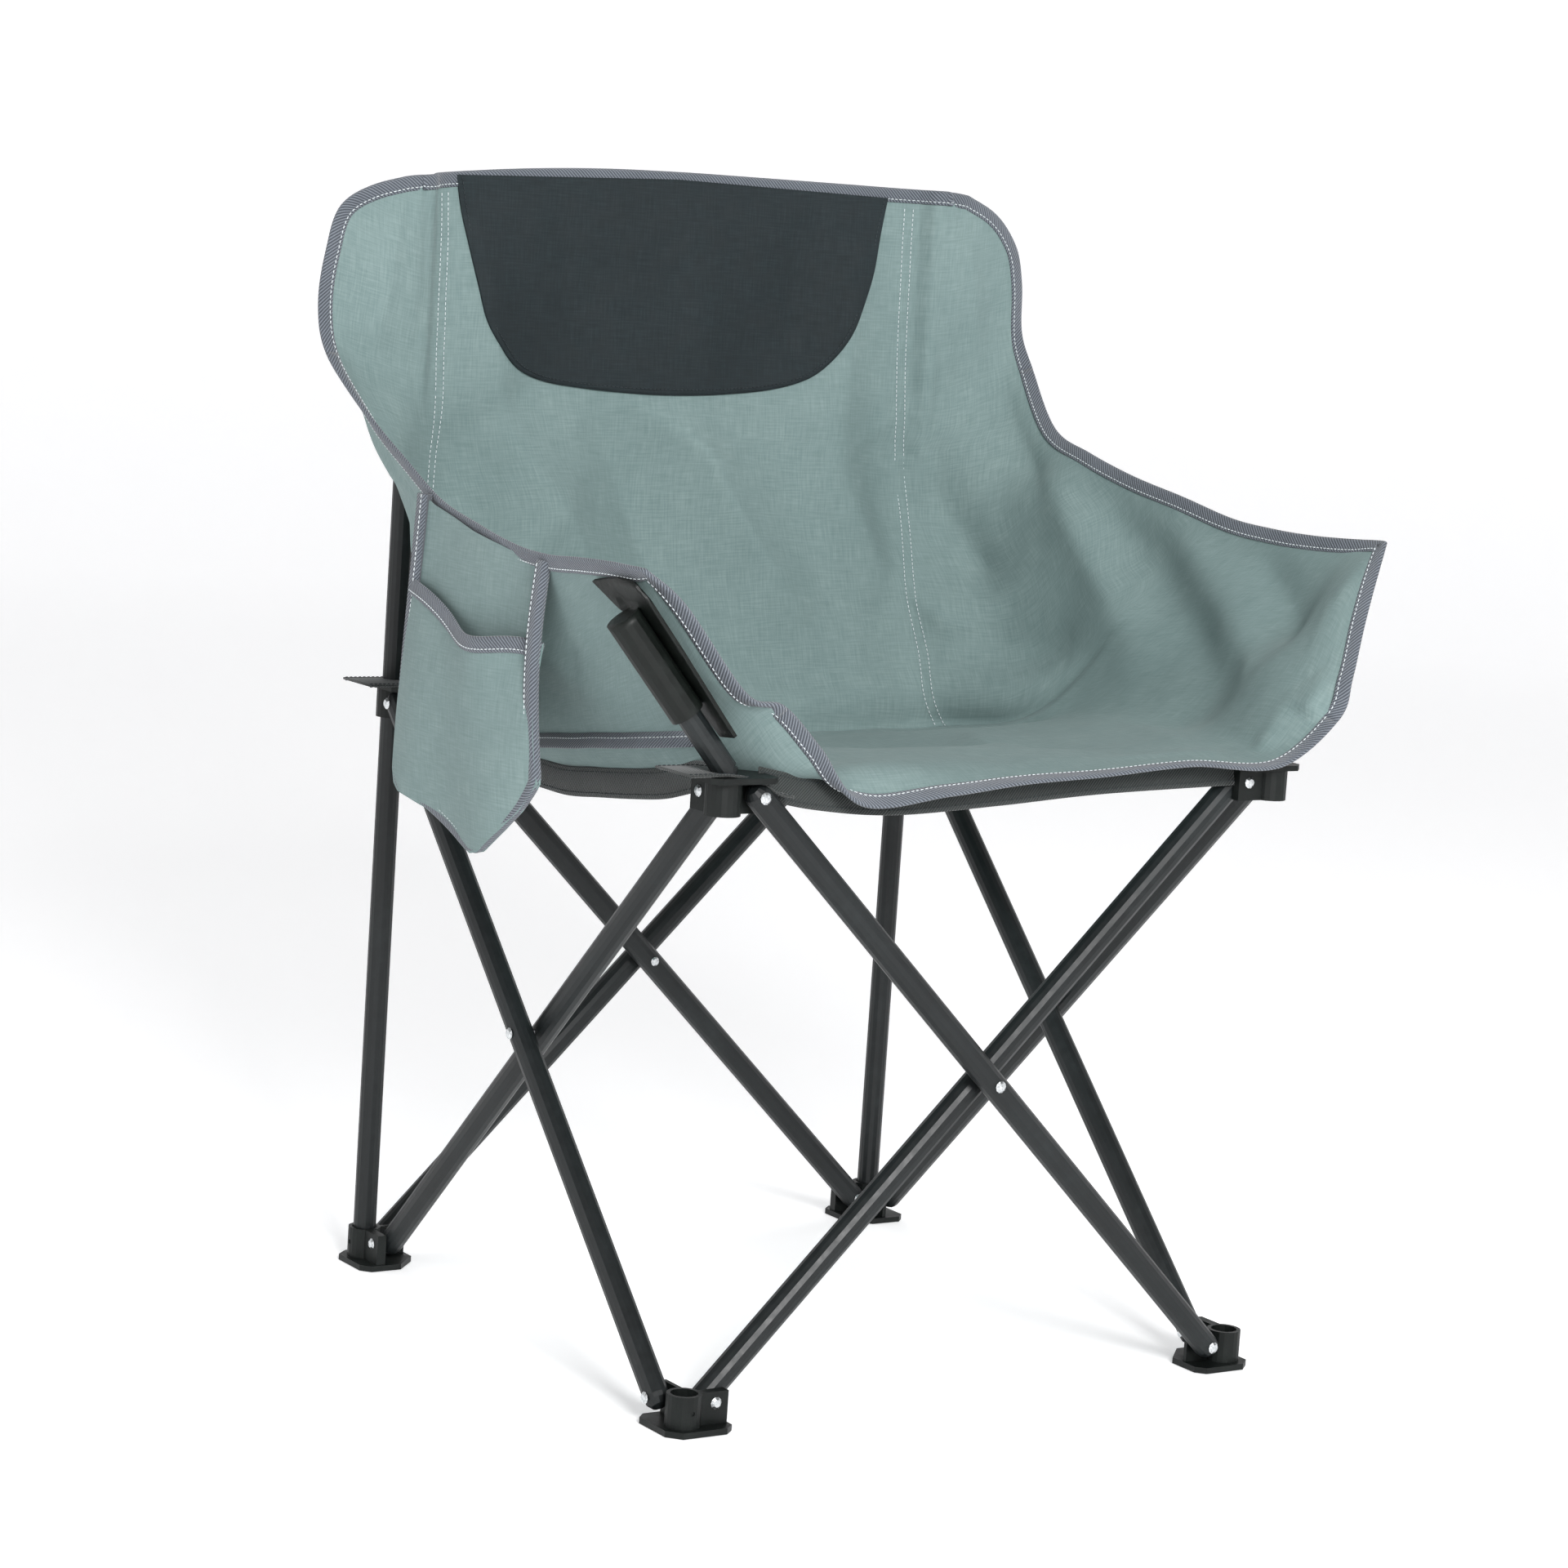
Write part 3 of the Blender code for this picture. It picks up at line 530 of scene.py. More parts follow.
# centre (y, z), seam (x, y, z), turn (x, y, z) and rim (x, y, z); the left side first, then the right side
ROWS = [
    dict(c=(.2268, .7737), l=[(.194, .2215, .7730), (.2140, .2050, .7731), (.2200, .2045, .7727), (.2270, .2040, .7722), (.2350, .2038, .7712)],
         r=[(.194, .2210, .7625), (.2140, .2055, .7603), (.2200, .2050, .7597), (.2260, .2048, .7590), (.2320, .2046, .7580)]),
    dict(c=(.2270, .7540), l=[(.194, .2215, .7545), (.2165, .2043, .7545), (.2300, .2038, .7560), (.2440, .2035, .7585), (.2575, .2035, .7612)],
         r=[(.194, .2210, .7450), (.2165, .2045, .7430), (.2290, .2042, .7445), (.2420, .2040, .7480), (.2540, .2040, .7520)]),
    dict(c=(.2270, .7230), l=[(.194, .2212, .7250), (.2165, .2043, .7260), (.2370, .2037, .7295), (.2580, .2035, .7340), (.2793, .2035, .7396)],
         r=[(.194, .2208, .7180), (.2165, .2045, .7170), (.2370, .2042, .7225), (.2580, .2042, .7290), (.2790, .2045, .7370)]),
    dict(c=(.2262, .6880), l=[(.194, .2200, .6900), (.2165, .2043, .6920), (.2400, .2040, .6975), (.2640, .2042, .7040), (.2893, .2045, .7110)],
         r=[(.194, .2198, .6850), (.2165, .2045, .6860), (.2400, .2045, .6920), (.2640, .2048, .6985), (.2890, .2050, .7050)]),
    dict(c=(.2245, .6510), l=[(.194, .2175, .6540), (.2165, .2042, .6570), (.2400, .2038, .6625), (.2650, .2040, .6685), (.2925, .2045, .6750)],
         r=[(.194, .2172, .6500), (.2165, .2044, .6520), (.2400, .2044, .6570), (.2650, .2046, .6630), (.2925, .2050, .6700)]),
    dict(c=(.2215, .6110), l=[(.194, .2125, .6140), (.2175, .2025, .6180), (.2410, .1985, .6255), (.2650, .1925, .6360), (.2895, .1830, .6474)],
         r=[(.194, .2122, .6110), (.2175, .2030, .6140), (.2410, .2005, .6210), (.2650, .1975, .6290), (.2900, .1940, .6380)]),
    dict(c=(.2165, .5700), l=[(.194, .2075, .5700), (.236, .1790, .5800), (.2800, .1370, .6065)],
         r=[(.194, .2070, .5680), (.236, .1800, .5750), (.2830, .1450, .6010)]),
    dict(c=(.2085, .5280), l=[(.194, .1990, .5270), (.234, .1550, .5370), (.2775, .0900, .5925)],
         r=[(.194, .1985, .5250), (.234, .1570, .5310), (.2800, .0950, .5755)]),
    dict(c=(.1965, .4860), l=[(.194, .1870, .4860), (.233, .1300, .4950), (.2790, .0400, .5805)],
         r=[(.194, .1870, .4840), (.233, .1320, .4870), (.2800, .0450, .5545)]),
    dict(c=(.1775, .4380), l=[(.194, .1660, .4420), (.234, .1030, .4500), (.2815, -.0150, .5710)],
         r=[(.194, .1660, .4410), (.234, .1040, .4430), (.2812, -.0100, .5435)]),
    dict(c=(.1520, .3885), l=[(.195, .1380, .3885), (.226, .0780, .4020), (.2855, -.0650, .5610)],
         r=[(.195, .1380, .3885), (.226, .0780, .4000), (.2835, -.0600, .5365)]),
    dict(c=(.0850, .3845), l=[(.200, .0620, .3960), (.236, .0180, .4130), (.2885, -.1100, .5575)],
         r=[(.196, .0620, .3850), (.228, .0180, .4060), (.2855, -.1050, .5345)]),
    dict(c=(.0000, .3925), l=[(.204, -.0200, .4070), (.240, -.0450, .4220), (.2915, -.1500, .5570)],
         r=[(.196, -.0200, .3880), (.230, -.0450, .4160), (.2865, -.1480, .5370)]),
    dict(c=(-.0900, .4050), l=[(.205, -.1000, .4140), (.238, -.1080, .4235), (.2940, -.1850, .5585)],
         r=[(.192, -.1000, .3960), (.226, -.1080, .4260), (.2865, -.1830, .5385)]),
    dict(c=(-.1650, .4135), l=[(.201, -.1700, .4195), (.222, -.1680, .4360), (.2420, -.1820, .4780), (.2680, -.1940, .5200), (.2955, -.2070, .5600)],
         r=[(.184, -.1650, .4030), (.214, -.1650, .4350), (.2860, -.2070, .5384)]),
    dict(c=(-.2050, .4120), l=[(.201, -.2120, .4190), (.2185, -.2120, .4405), (.2350, -.2125, .4650), (.2600, -.2125, .5140), (.2950, -.2165, .5605)],
         r=[(.172, -.2000, .4110), (.200, -.2030, .4420), (.2290, -.2080, .4700), (.2620, -.2140, .5180), (.2855, -.2160, .5382)]),
    dict(c=(-.2330, .4058), l=[(.060, -.2360, .4100), (.128, -.2415, .4165), (.201, -.2460, .4160), (.239, -.2500, .4450), (.2505, -.2480, .4740), (.2670, -.2370, .5100), (.2930, -.2215, .5606)],
         r=[(.056, -.2310, .3990), (.119, -.2250, .3934), (.151, -.2220, .4290), (.1786, -.2220, .4545), (.2082, -.2220, .4633), (.2543, -.2220, .5161), (.2845, -.2215, .5378)]),
]
ROW_NECK, ROW_CREASE, ROW_MIDDLE = 5, 10, 12


def row_points():
    table = []
    for k, row in enumerate(ROWS):
        cy, cz = row["c"]
        sides = []
        for pts in (row["r"], row["l"]):
            pts = [np.array(p, float) for p in pts]
            centre = np.array([0.0, cy, cz])
            if len(pts) == 7:
                full = pts
            else:
                seam, turn, rim = pts[0], pts[1], pts[-1]
                q = []
                for f in (0.34, 0.68):
                    p = centre + (seam - centre) * f * 1.0
                    p[0] = seam[0] * f
                    lift = 1 - f * f
                    p[1] = seam[1] + (centre[1] - seam[1]) * lift
                    p[2] = seam[2] + (centre[2] - seam[2]) * lift
                    q.append(p)
                if len(pts) == 5:
                    a1, a2 = pts[2], pts[3]
                else:
                    a1 = turn + (rim - turn) * 0.36
                    a2 = turn + (rim - turn) * 0.69
                    out = np.array([0.004, 0, 0]) if k >= ROW_NECK else np.zeros(3)
                    a1 = a1 + out
                    a2 = a2 + out * 0.8
                full = [q[0], q[1], seam, turn, a1, a2, rim]
            sides.append(full)
        right = [p * np.array([-1, 1, 1]) for p in sides[0]][::-1]
        left = sides[1]
        table.append(right + [np.array([0.0, cy, cz])] + left)
    return np.array(table)


def make_surface():
    table = row_points()
    seam_l = table[:, 10]
    seam_r = table[:, 4]
    centre = table[:, 7]
    step = (np.linalg.norm(np.diff(seam_l, axis=0), axis=1) + np.linalg.norm(np.diff(seam_r, axis=0), axis=1)
            + np.linalg.norm(np.diff(centre, axis=0), axis=1)) / 3
    v_at = np.concatenate([[0], np.cumsum(step)])
    cell = 0.0042
    rows = []
    for k in range(len(ROWS) - 1):
        count = max(2, int(round((v_at[k + 1] - v_at[k]) / cell)))
        rows.extend(list(v_at[k] + (v_at[k + 1] - v_at[k]) * np.arange(count) / count))
    rows.append(v_at[-1])
    rows = np.array(rows)
    mid = int(0.388 / cell / 2) * 2
    side = int(0.150 / cell)
    cols = np.concatenate([np.linspace(-1, -0.5, side, endpoint=False), np.linspace(-0.5, 0.5, mid, endpoint=False), np.linspace(0.5, 1, side + 1)])
    down = curve_through(v_at, table, rows)
    P = np.stack([curve_through(U_AT, down[i], cols) for i in range(len(rows))])
    return P, rows, cols, v_at


def smooth_grid(P, fixed, rounds):
    for _ in range(rounds):
        Q = P.copy()
        Q[1:-1, 1:-1] = (P[:-2, 1:-1] + P[2:, 1:-1] + P[1:-1, :-2] + P[1:-1, 2:]) / 4
        P = P + (Q - P) * 0.5 * (1 - fixed[..., None])
    return P


def fold(P, N, a, b, width, depth, sharp=1.25):
    """A soft ridge along the line from a to b; depth above zero rises towards the sitter."""
    a, b = np.array(a, float), np.array(b, float)
    d = b - a
    t = np.clip(((P - a) @ d) / (d @ d), 0, 1)
    near = a + t[..., None] * d
    r = np.linalg.norm(P - near, axis=2) / width
    along = np.sin(np.pi * np.clip(t * 0.9 + 0.05, 0, 1)) ** 0.6
    return -N * (depth * np.exp(-np.abs(r) ** sharp) * along)[..., None]


def edge_fade(rows, cols, P, reach):
    """0 at the rim and 1 further in than reach."""
    u = np.linalg.norm(np.diff(P, axis=1), axis=2)
    right = np.concatenate([np.zeros((P.shape[0], 1)), np.cumsum(u, axis=1)], axis=1)
    left = right[:, -1:] - right
    v = np.linalg.norm(np.diff(P, axis=0), axis=2)
    top = np.concatenate([np.zeros((1, P.shape[1])), np.cumsum(v, axis=0)], axis=0)
    bottom = top[-1:, :] - top
    d = np.minimum(np.minimum(right, left), np.minimum(top, bottom))
    f = np.clip(d / reach, 0, 1)
    return f * f * (3 - 2 * f)


def wrinkle(P, rows, cols, crease):
    N = grid_normals(P)
    fade = edge_fade(rows, cols, P, 0.045)
    move = np.zeros_like(P)
    folds = [
        # left rear corner, where the back turns into the arm
        ((.105, .205, .640), (.175, .180, .470), .026, .015),
        ((.175, .205, .600), (.240, .140, .480), .030, -.018),
        ((.130, .200, .545), (.232, .150, .440), .020, .011),
        ((.200, .150, .450), (.245, .050, .455), .018, -.009),
        ((.255, .130, .590), (.262, .000, .470), .026, .011),
        ((.262, .060, .560), (.250, -.100, .460), .026, -.011),
        ((.272, -.020, .550), (.255, -.150, .460), .022, .009),
        ((.280, -.100, .545), (.262, -.185, .480), .018, -.006),
        # right rear corner
        ((-.120, .205, .620), (-.225, .165, .490), .030, -.014),
        ((-.080, .205, .560), (-.205, .160, .440), .024, .011),
        ((-.250, .130, .570), (-.255, .000, .460), .028, .010),
        ((-.262, .040, .540), (-.250, -.100, .460), .026, -.009),
        # the back, between the posts
        ((-.150, .222, .600), (-.060, .200, .460), .036, .012),
        ((-.060, .224, .600), (.010, .190, .430), .034, -.011),
        ((.010, .222, .590), (.095, .190, .450), .030, .012),
        ((-.050, .224, .620), (.050, .215, .560), .024, .006),
        ((-.165, .222, .735), (-.135, .222, .560), .020, .006),
        ((-.100, .224, .740), (-.080, .222, .640), .018, -.004),
        ((.010, .224, .750), (.030, .224, .640), .022, .004),
        ((.155, .222, .735), (.140, .220, .590), .020, .006),
        ((.105, .224, .745), (.095, .222, .660), .018, -.004),
        # the seat
        ((-.120, -.150, .412), (-.040, .080, .388), .030, .005),
        ((.130, -.150, .414), (.060, .060, .390), .034, -.006),
        ((.060, -.130, .410), (.150, .040, .395), .024, .006),
        ((.170, -.190, .415), (.215, -.060, .415), .016, .005),
        ((.090, -.200, .413), (.180, -.205, .415), .014, .003),
        # the wings
        ((-.235, .205, .740), (-.250, .205, .640), .016, .004),
        ((.235, .205, .740), (.255, .200, .640), .016, .004),
        ((.270, .195, .640), (.262, .120, .560), .022, -.008),
        ((-.270, .195, .630), (-.262, .110, .550), .022, -.008),
    ]
    for a, b, w, d in folds:
        move += fold(P, N, a, b, w, d * (1.55 if a[2] > .43 else 1.3))
    # the sharp crease where the back meets the seat, and the slack that hangs over it
    across = np.clip((0.80 - np.abs(cols)) / 0.22, 0, 1)[None, :]
    wave = 0.0035 * np.sin(cols * 9.0)[None, :]
    v = rows[:, None] - crease - wave
    move += N * ((0.0085 * np.exp(-(v / 0.0065) ** 2) - 0.0060 * np.exp(-((v + 0.024) / 0.014) ** 2)) * across)[..., None]
    flat = P.reshape(-1, 3)
    small = np.array([noise.noise(Vector((p[0] * 11, p[1] * 11, p[2] * 11))) * 0.0030
                      + noise.noise(Vector((p[0] * 27 + 5, p[1] * 27, p[2] * 27))) * 0.0011 for p in flat])
    move += N * small.reshape(P.shape[:2])[..., None]
    return clear_of_posts(P + move * fade[..., None])


def clear_of_posts(P):
    """Hold the cloth off the posts it passes in front of."""
    for name in ("post_right", "post_left"):
        lo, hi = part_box(name)
        x, y = (lo[0] + hi[0]) / 2, (lo[1] + hi[1]) / 2
        r = (hi[0] - lo[0]) / 2 + 0.0030
        dx = np.abs(P[..., 0] - x)
        front = y - np.sqrt(np.maximum(r * r - dx * dx, 0))
        hit = (dx < r) & (P[..., 1] > front) & (P[..., 1] < y + r)
        P[..., 1] = np.where(hit, front, P[..., 1])
    for side in (-1, 1):
        base, d, fore, inside, length = arm_frame(side)
        q = P - base
        h, c, w = q @ d, q @ fore, q @ inside
        r = 0.0142
        over = np.sqrt(np.maximum(r * r - c * c, 0))
        if side > 0:
            # the wing reaches forward here, so the cloth passes inside that too
            f = np.clip((c + 0.036) / 0.012, 0, 1) * (c < 0.004) * np.clip((h - 0.020) / 0.016, 0, 1) * np.clip((length + 0.016 - h) / 0.010, 0, 1)
            over = np.maximum(np.where(np.abs(c) < r, over, 0), 0.0140 * f * f * (3 - 2 * f))
        hit = (over > 0) & (c > -0.036) & (c < r) & (h > -0.014) & (h < length + 0.016) & (w < over) & (w > -0.034)
        P = P + inside * np.where(hit, over - w, 0)[..., None]
    return P


def arm_frame(side):
    """The arm tube's axis, the rearward and the inward directions square to it."""
    base = np.array([side * HALF, -HALF, 0.4160])
    tip = np.array([side * 0.285, -0.200, 0.507])
    d = tip - base
    length = np.linalg.norm(d)
    d /= length
    fore = np.array([0, 1.0, 0])
    fore -= d * np.dot(fore, d)
    fore /= np.linalg.norm(fore)
    inside = np.cross(d, fore)
    if inside[0] * side > 0:
        inside = -inside
    return base, d, fore, inside, length


def main_cover(mats):
    P, rows, cols, v_at = make_surface()
    fixed = np.zeros(P.shape[:2])
    P = smooth_grid(P, fixed, 6)
    P = wrinkle(P, rows, cols, v_at[ROW_CREASE])
    N = grid_normals(P)
    # u and v in metres along the cloth
    U = np.zeros(P.shape[:2])
    seg = np.linalg.norm(np.diff(P, axis=1), axis=2)
    U[:, 1:] = np.cumsum(seg, axis=1)
    U -= U[:, [P.shape[1] // 2]]
    V = np.repeat(rows[:, None], P.shape[1], axis=1)
    UV = np.stack([U, V], axis=2)
    mats_list = [mats["cloth"], mats["binding"], mats["stitch"]]

    rc = (rows[:-1] + rows[1:]) / 2
    cc = (cols[:-1] + cols[1:]) / 2
    R, C = np.meshgrid(rc, cc, indexing="ij")
    neck, crease, middle = v_at[ROW_NECK], v_at[ROW_CREASE], v_at[ROW_MIDDLE]
    back = R < neck
    lower = (R >= neck) & (R < crease) & (np.abs(C) < 0.5)
    seat_zone = (R >= crease) & (np.abs(C) < 0.62)
    arm_left = (R >= neck) & (C > 0) & ~lower & ~seat_zone
    arm_right = (R >= neck) & (C < 0) & ~lower & ~seat_zone
    regions = {
        "cover_back": (back, "root"),
        "cover_lower_back": (lower, "hub_rear_right"),
        "cover_arm_left": (arm_left, "hub_rear_left"),
        "cover_arm_right": (arm_right, "hub_rear_right"),
        "cover_seat_rear": (seat_zone & (R < middle), "seat_rear"),
        "cover_seat_front": (seat_zone & (R >= middle), "seat_front"),
    }
    meshes = {name: Mesh() for name in regions}
    for name, (keep, body) in regions.items():
        sheet_solid(meshes[name], P, N, UV, keep, 0, 0.0008)

    def region_of(i, j):
        i = min(max(i, 0), len(rc) - 1)
        j = min(max(j, 0), len(cc) - 1)
        for name, (keep, body) in regions.items():
            if keep[i, j]:
                return name
        return "cover_back"

    # the rim, run once round: top edge, left side, front hem, right side
    nr, nc = P.shape[:2]
    loop = [(0, j) for j in range(nc)] + [(i, nc - 1) for i in range(1, nr)] \
        + [(nr - 1, j) for j in range(nc - 2, -1, -1)] + [(i, 0) for i in range(nr - 2, 0, -1)]
    pts = np.array([P[i, j] for i, j in loop])
    nrm = np.array([N[i, j] for i, j in loop])
    # shift the cell index to the loop's segment for the region look-up
    names = []
    for q in range(len(loop)):
        i, j = loop[q]
        i2, j2 = loop[(q + 1) % len(loop)]
        names.append(region_of(min(i, i2), min(j, j2)))
    tangent = np.roll(pts, -2, axis=0) - np.roll(pts, 2, axis=0)
    tangent /= np.linalg.norm(tangent, axis=1, keepdims=True) + 1e-12
    into = []
    for q, (i, j) in enumerate(loop):
        di = 1 if i == 0 else (-1 if i == nr - 1 else 0)
        dj = 1 if j == 0 else (-1 if j == nc - 1 else 0)
        if i in (0, nr - 1) and 0 < j < nc - 1:
            dj = 0
        if j in (0, nc - 1) and 0 < i < nr - 1:
            di = 0
        k = 3
        into.append(P[min(max(i + di * k, 0), nr - 1), min(max(j + dj * k, 0), nc - 1)] - P[i, j])
    into = np.array(into)
    nrm = (np.roll(nrm, 1, axis=0) + nrm * 2 + np.roll(nrm, -1, axis=0))
    nrm /= np.linalg.norm(nrm, axis=1, keepdims=True) + 1e-12
    inward = np.cross(nrm, tangent)
    sign = np.sign(np.sum(inward * into, axis=1))
    sign[sign == 0] = 1
    inward *= sign[:, None]
    # lean the inward direction along the cloth
    lean = into - tangent * np.sum(into * tangent, axis=1)[:, None]
    lean /= np.linalg.norm(lean, axis=1, keepdims=True) + 1e-12
    inward = inward + lean
    for _ in range(3):
        inward = np.roll(inward, 1, axis=0) + inward * 2 + np.roll(inward, -1, axis=0)
        inward /= np.linalg.norm(inward, axis=1, keepdims=True) + 1e-12
    nrm = nrm - inward * np.sum(nrm * inward, axis=1)[:, None]
    nrm /= np.linalg.norm(nrm, axis=1, keepdims=True) + 1e-12
    w, h = 0.0098, 0.0017
    profile = [(w, -h * 0.75), (w - 0.0006, -h), (w * 0.5, -h * 1.05), (0.0014, -h), (0.0, -h * 0.72), (-0.0007, 0.0),
               (0.0, h * 0.72), (0.0014, h), (w * 0.5, h * 1.05), (w - 0.0006, h), (w, h * 0.75), (w * 0.92, 0.0)]
    n = len(loop)
    starts = [q for q in range(n) if names[q] != names[q - 1]]
    lengths = np.linalg.norm(np.roll(pts, -1, axis=0) - pts, axis=1)
    s_at = np.concatenate([[0], np.cumsum(lengths)])
    for a, q in enumerate(starts):
        end = starts[(a + 1) % len(starts)]
        idx = [q]
        while idx[-1] != end:
            idx.append((idx[-1] + 1) % n)
        m = meshes[names[q]]
        sweep(m, pts[idx], inward[idx], nrm[idx], profile, 1, uv_start=float(s_at[q]))
        for side in (-1, 1):
            line = pts[idx] + inward[idx] * 0.0076 + nrm[idx] * side * h * 1.02
            stitches(m, line, nrm[idx] * side, 2)

    # twin rows where the side panels join the middle
    for sgn in (-1, 1):
        j = int(np.argmin(np.abs(cols - 0.5 * sgn)))
        for off in (-0.0033, 0.0033):
            line, up, who = [], [], []
            for i in range(nr):
                if rows[i] > crease + 1e-9:
                    break
                across = P[i, j + 1] - P[i, j - 1]
                across /= np.linalg.norm(across)
                line.append(P[i, j] + across * off)
                up.append(N[i, j])
                who.append("cover_back" if rows[i] < neck - 1e-9 else "cover_lower_back")
            line, up = np.array(line), np.array(up)
            skip = 3
            for name in ("cover_back", "cover_lower_back"):
                idx = [i for i in range(len(line)) if who[i] == name and i >= skip]
                if name == "cover_back":
                    idx.append(idx[-1] + 1)
                for side in (-1, 1):
                    stitches(meshes[name], line[idx] + up[idx] * side * 0.0012, up[idx] * side, 2, radius=0.00032)

    pieces = {}
    for name, (keep, body) in regions.items():
        pieces[name] = (meshes[name].build(name, mats_list), body)
    return P, N, rows, cols, v_at, pieces


def finish_soft(o, body, replaced):
    if replaced:
        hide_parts(*replaced)
    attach(o, body)
    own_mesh(o)


def surface_y(P, x, z, limit_rows):
    """The cloth's y at (x, z) on the back."""
    Q = P[:limit_rows].reshape(-1, 3)
    d = (Q[:, 0] - x) ** 2 + (Q[:, 2] - z) ** 2
    k = np.argsort(d)[:6]
    w = 1 / (d[k] + 1e-8)
    return float(np.sum(Q[k, 1] * w) / np.sum(w))


def head_patch(P, v_at, rows, mats):
    """The darker piece sewn on the top of the back, its lower edge a deep curve."""
    outline = [(-.1840, .7620), (-.1800, .7400), (-.1720, .7080), (-.1655, .6850), (-.1585, .6620), (-.1480, .6470), (-.1335, .6330), (-.1190, .6265),
               (-.1040, .6225), (-.0790, .6195), (-.0525, .6175), (-.0200, .6165), (.0136, .6170), (.0480, .6190), (.0809, .6230), (.1020, .6285), (.1218, .6375),
               (.1360, .6500), (.1468, .6660), (.1560, .6870), (.1642, .7097), (.1700, .7370), (.1757, .7660)]
    o = np.array(outline)
    s_at = np.concatenate([[0], np.cumsum(np.linalg.norm(np.diff(o, axis=0), axis=1))])
    m, n = ((150, 48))
    t = np.linspace(0, 1, m)
    low = curve_through(s_at, o, t * s_at[-1])
    for _ in range(4):
        low[1:-1] = (low[:-2] + low[1:-1] * 2 + low[2:]) / 4
    mix = t * 0.55 + (0.5 - 0.5 * np.cos(t * math.pi)) * 0.45
    top = np.stack([-.1840 + (.1757 + .1840) * mix, np.interp(mix, [0, .5, 1], [.7620, .7690, .7660])], axis=1)
    limit = int(np.argmin(np.abs(rows - v_at[6])))
    Q = np.zeros((n, m, 3))
    for i in range(n):
        f = i / (n - 1)
        for j in range(m):
            x, z = top[j] * (1 - f) + low[j] * f
            Q[i, j] = (x, surface_y(P, x, z, limit), z)
    for _ in range(3):
        Q[1:-1, 1:-1, 1] = (Q[:-2, 1:-1, 1] + Q[2:, 1:-1, 1] + Q[1:-1, :-2, 1] + Q[1:-1, 2:, 1]) / 4
        Q[-1, 1:-1, 1] = (Q[-1, :-2, 1] + Q[-1, 2:, 1]) / 2
    N = np.zeros_like(Q)
    N[...] = (0, 1, 0)
    Q = Q - N * 0.0020
    lattice = Q[..., [0, 2]].copy()
    mesh = Mesh()
    sheet_solid(mesh, Q, N, lattice, np.ones((n - 1, m - 1), bool), 0, 0.0007)
    mesh.normals = [(0.0, 0.0, 0.0)] * len(mesh.normals)
    centre = np.array([-.004, .705])
    edge = Q[-1]
    d = edge[:, [0, 2]] - centre
    d /= np.linalg.norm(d, axis=1, keepdims=True)
    line = edge.copy()
    line[:, 0] -= d[:, 0] * 0.0040
    line[:, 2] -= d[:, 1] * 0.0040
    line[:, 1] -= 0.0007
    stitches(mesh, line, np.tile([0, -1.0, 0], (len(line), 1)), 1, pitch=0.0032, radius=0.0003)
    return mesh.build("head_patch", [mats["patch"], mats["dark_stitch"]])


def post_sleeves(P, mats):
    """A strip of the same cloth behind each post, sewn to the back on both sides of it."""
    pieces = []
    for sx, name in ((-1, "right"), (1, "left")):
        xs = [.1925, .1945, .1985, .2045, .2100, .2150, .2205, .2260, .2315, .2370, .2400]
        ys = [.2225, .2238, .2262, .2268, .2268, .2268, .2262, .2238, .2160, .2085, .2060]
        s_ = np.linspace(0, 1, len(xs))
        at = np.linspace(0, 1, 34)
        prof = curve_through(s_, np.stack([xs, ys], axis=1), at)
        zt = .7600 if sx > 0 else .7480
        n = 56
        G = np.zeros((n, 34, 3))
        for i in range(n):
            z = zt + (.6040 - zt) * i / (n - 1)
            loose = 0.0010 * math.sin(i * 0.5) + 0.0012 * noise.noise(Vector((sx * 3, z * 22, 0)))
            for j in range(34):
                f = math.sin(math.pi * j / 33)
                G[i, j] = (sx * prof[j, 0], prof[j, 1] + loose * f, z)
        N = grid_normals(G)
        N *= np.sign(N[..., 1:2])
        if sx > 0:
            G, N = G[:, :], N[:, :]
        mesh = Mesh()
        uv = np.stack([np.broadcast_to(np.cumsum(np.full(34, .0021)), (n, 34)), G[..., 2]], axis=2)
        if sx < 0:
            G, N, uv = G[:, ::-1], N[:, ::-1], uv[:, ::-1]
        sheet_solid(mesh, G, N, uv, np.ones((n - 1, 33), bool), 0, 0.0006)
        for j in (1, 32):
            line = G[:, j] + N[:, j] * 0.0008
            stitches(mesh, line, N[:, j], 1, radius=0.0003)
        hem = G[-3] + N[-3] * 0.0008
        stitches(mesh, hem, N[-3], 1, radius=0.0003)
        pieces.append(mesh.build("post_sleeve_" + name, [mats["cloth"], mats["stitch"]]))
    return pieces


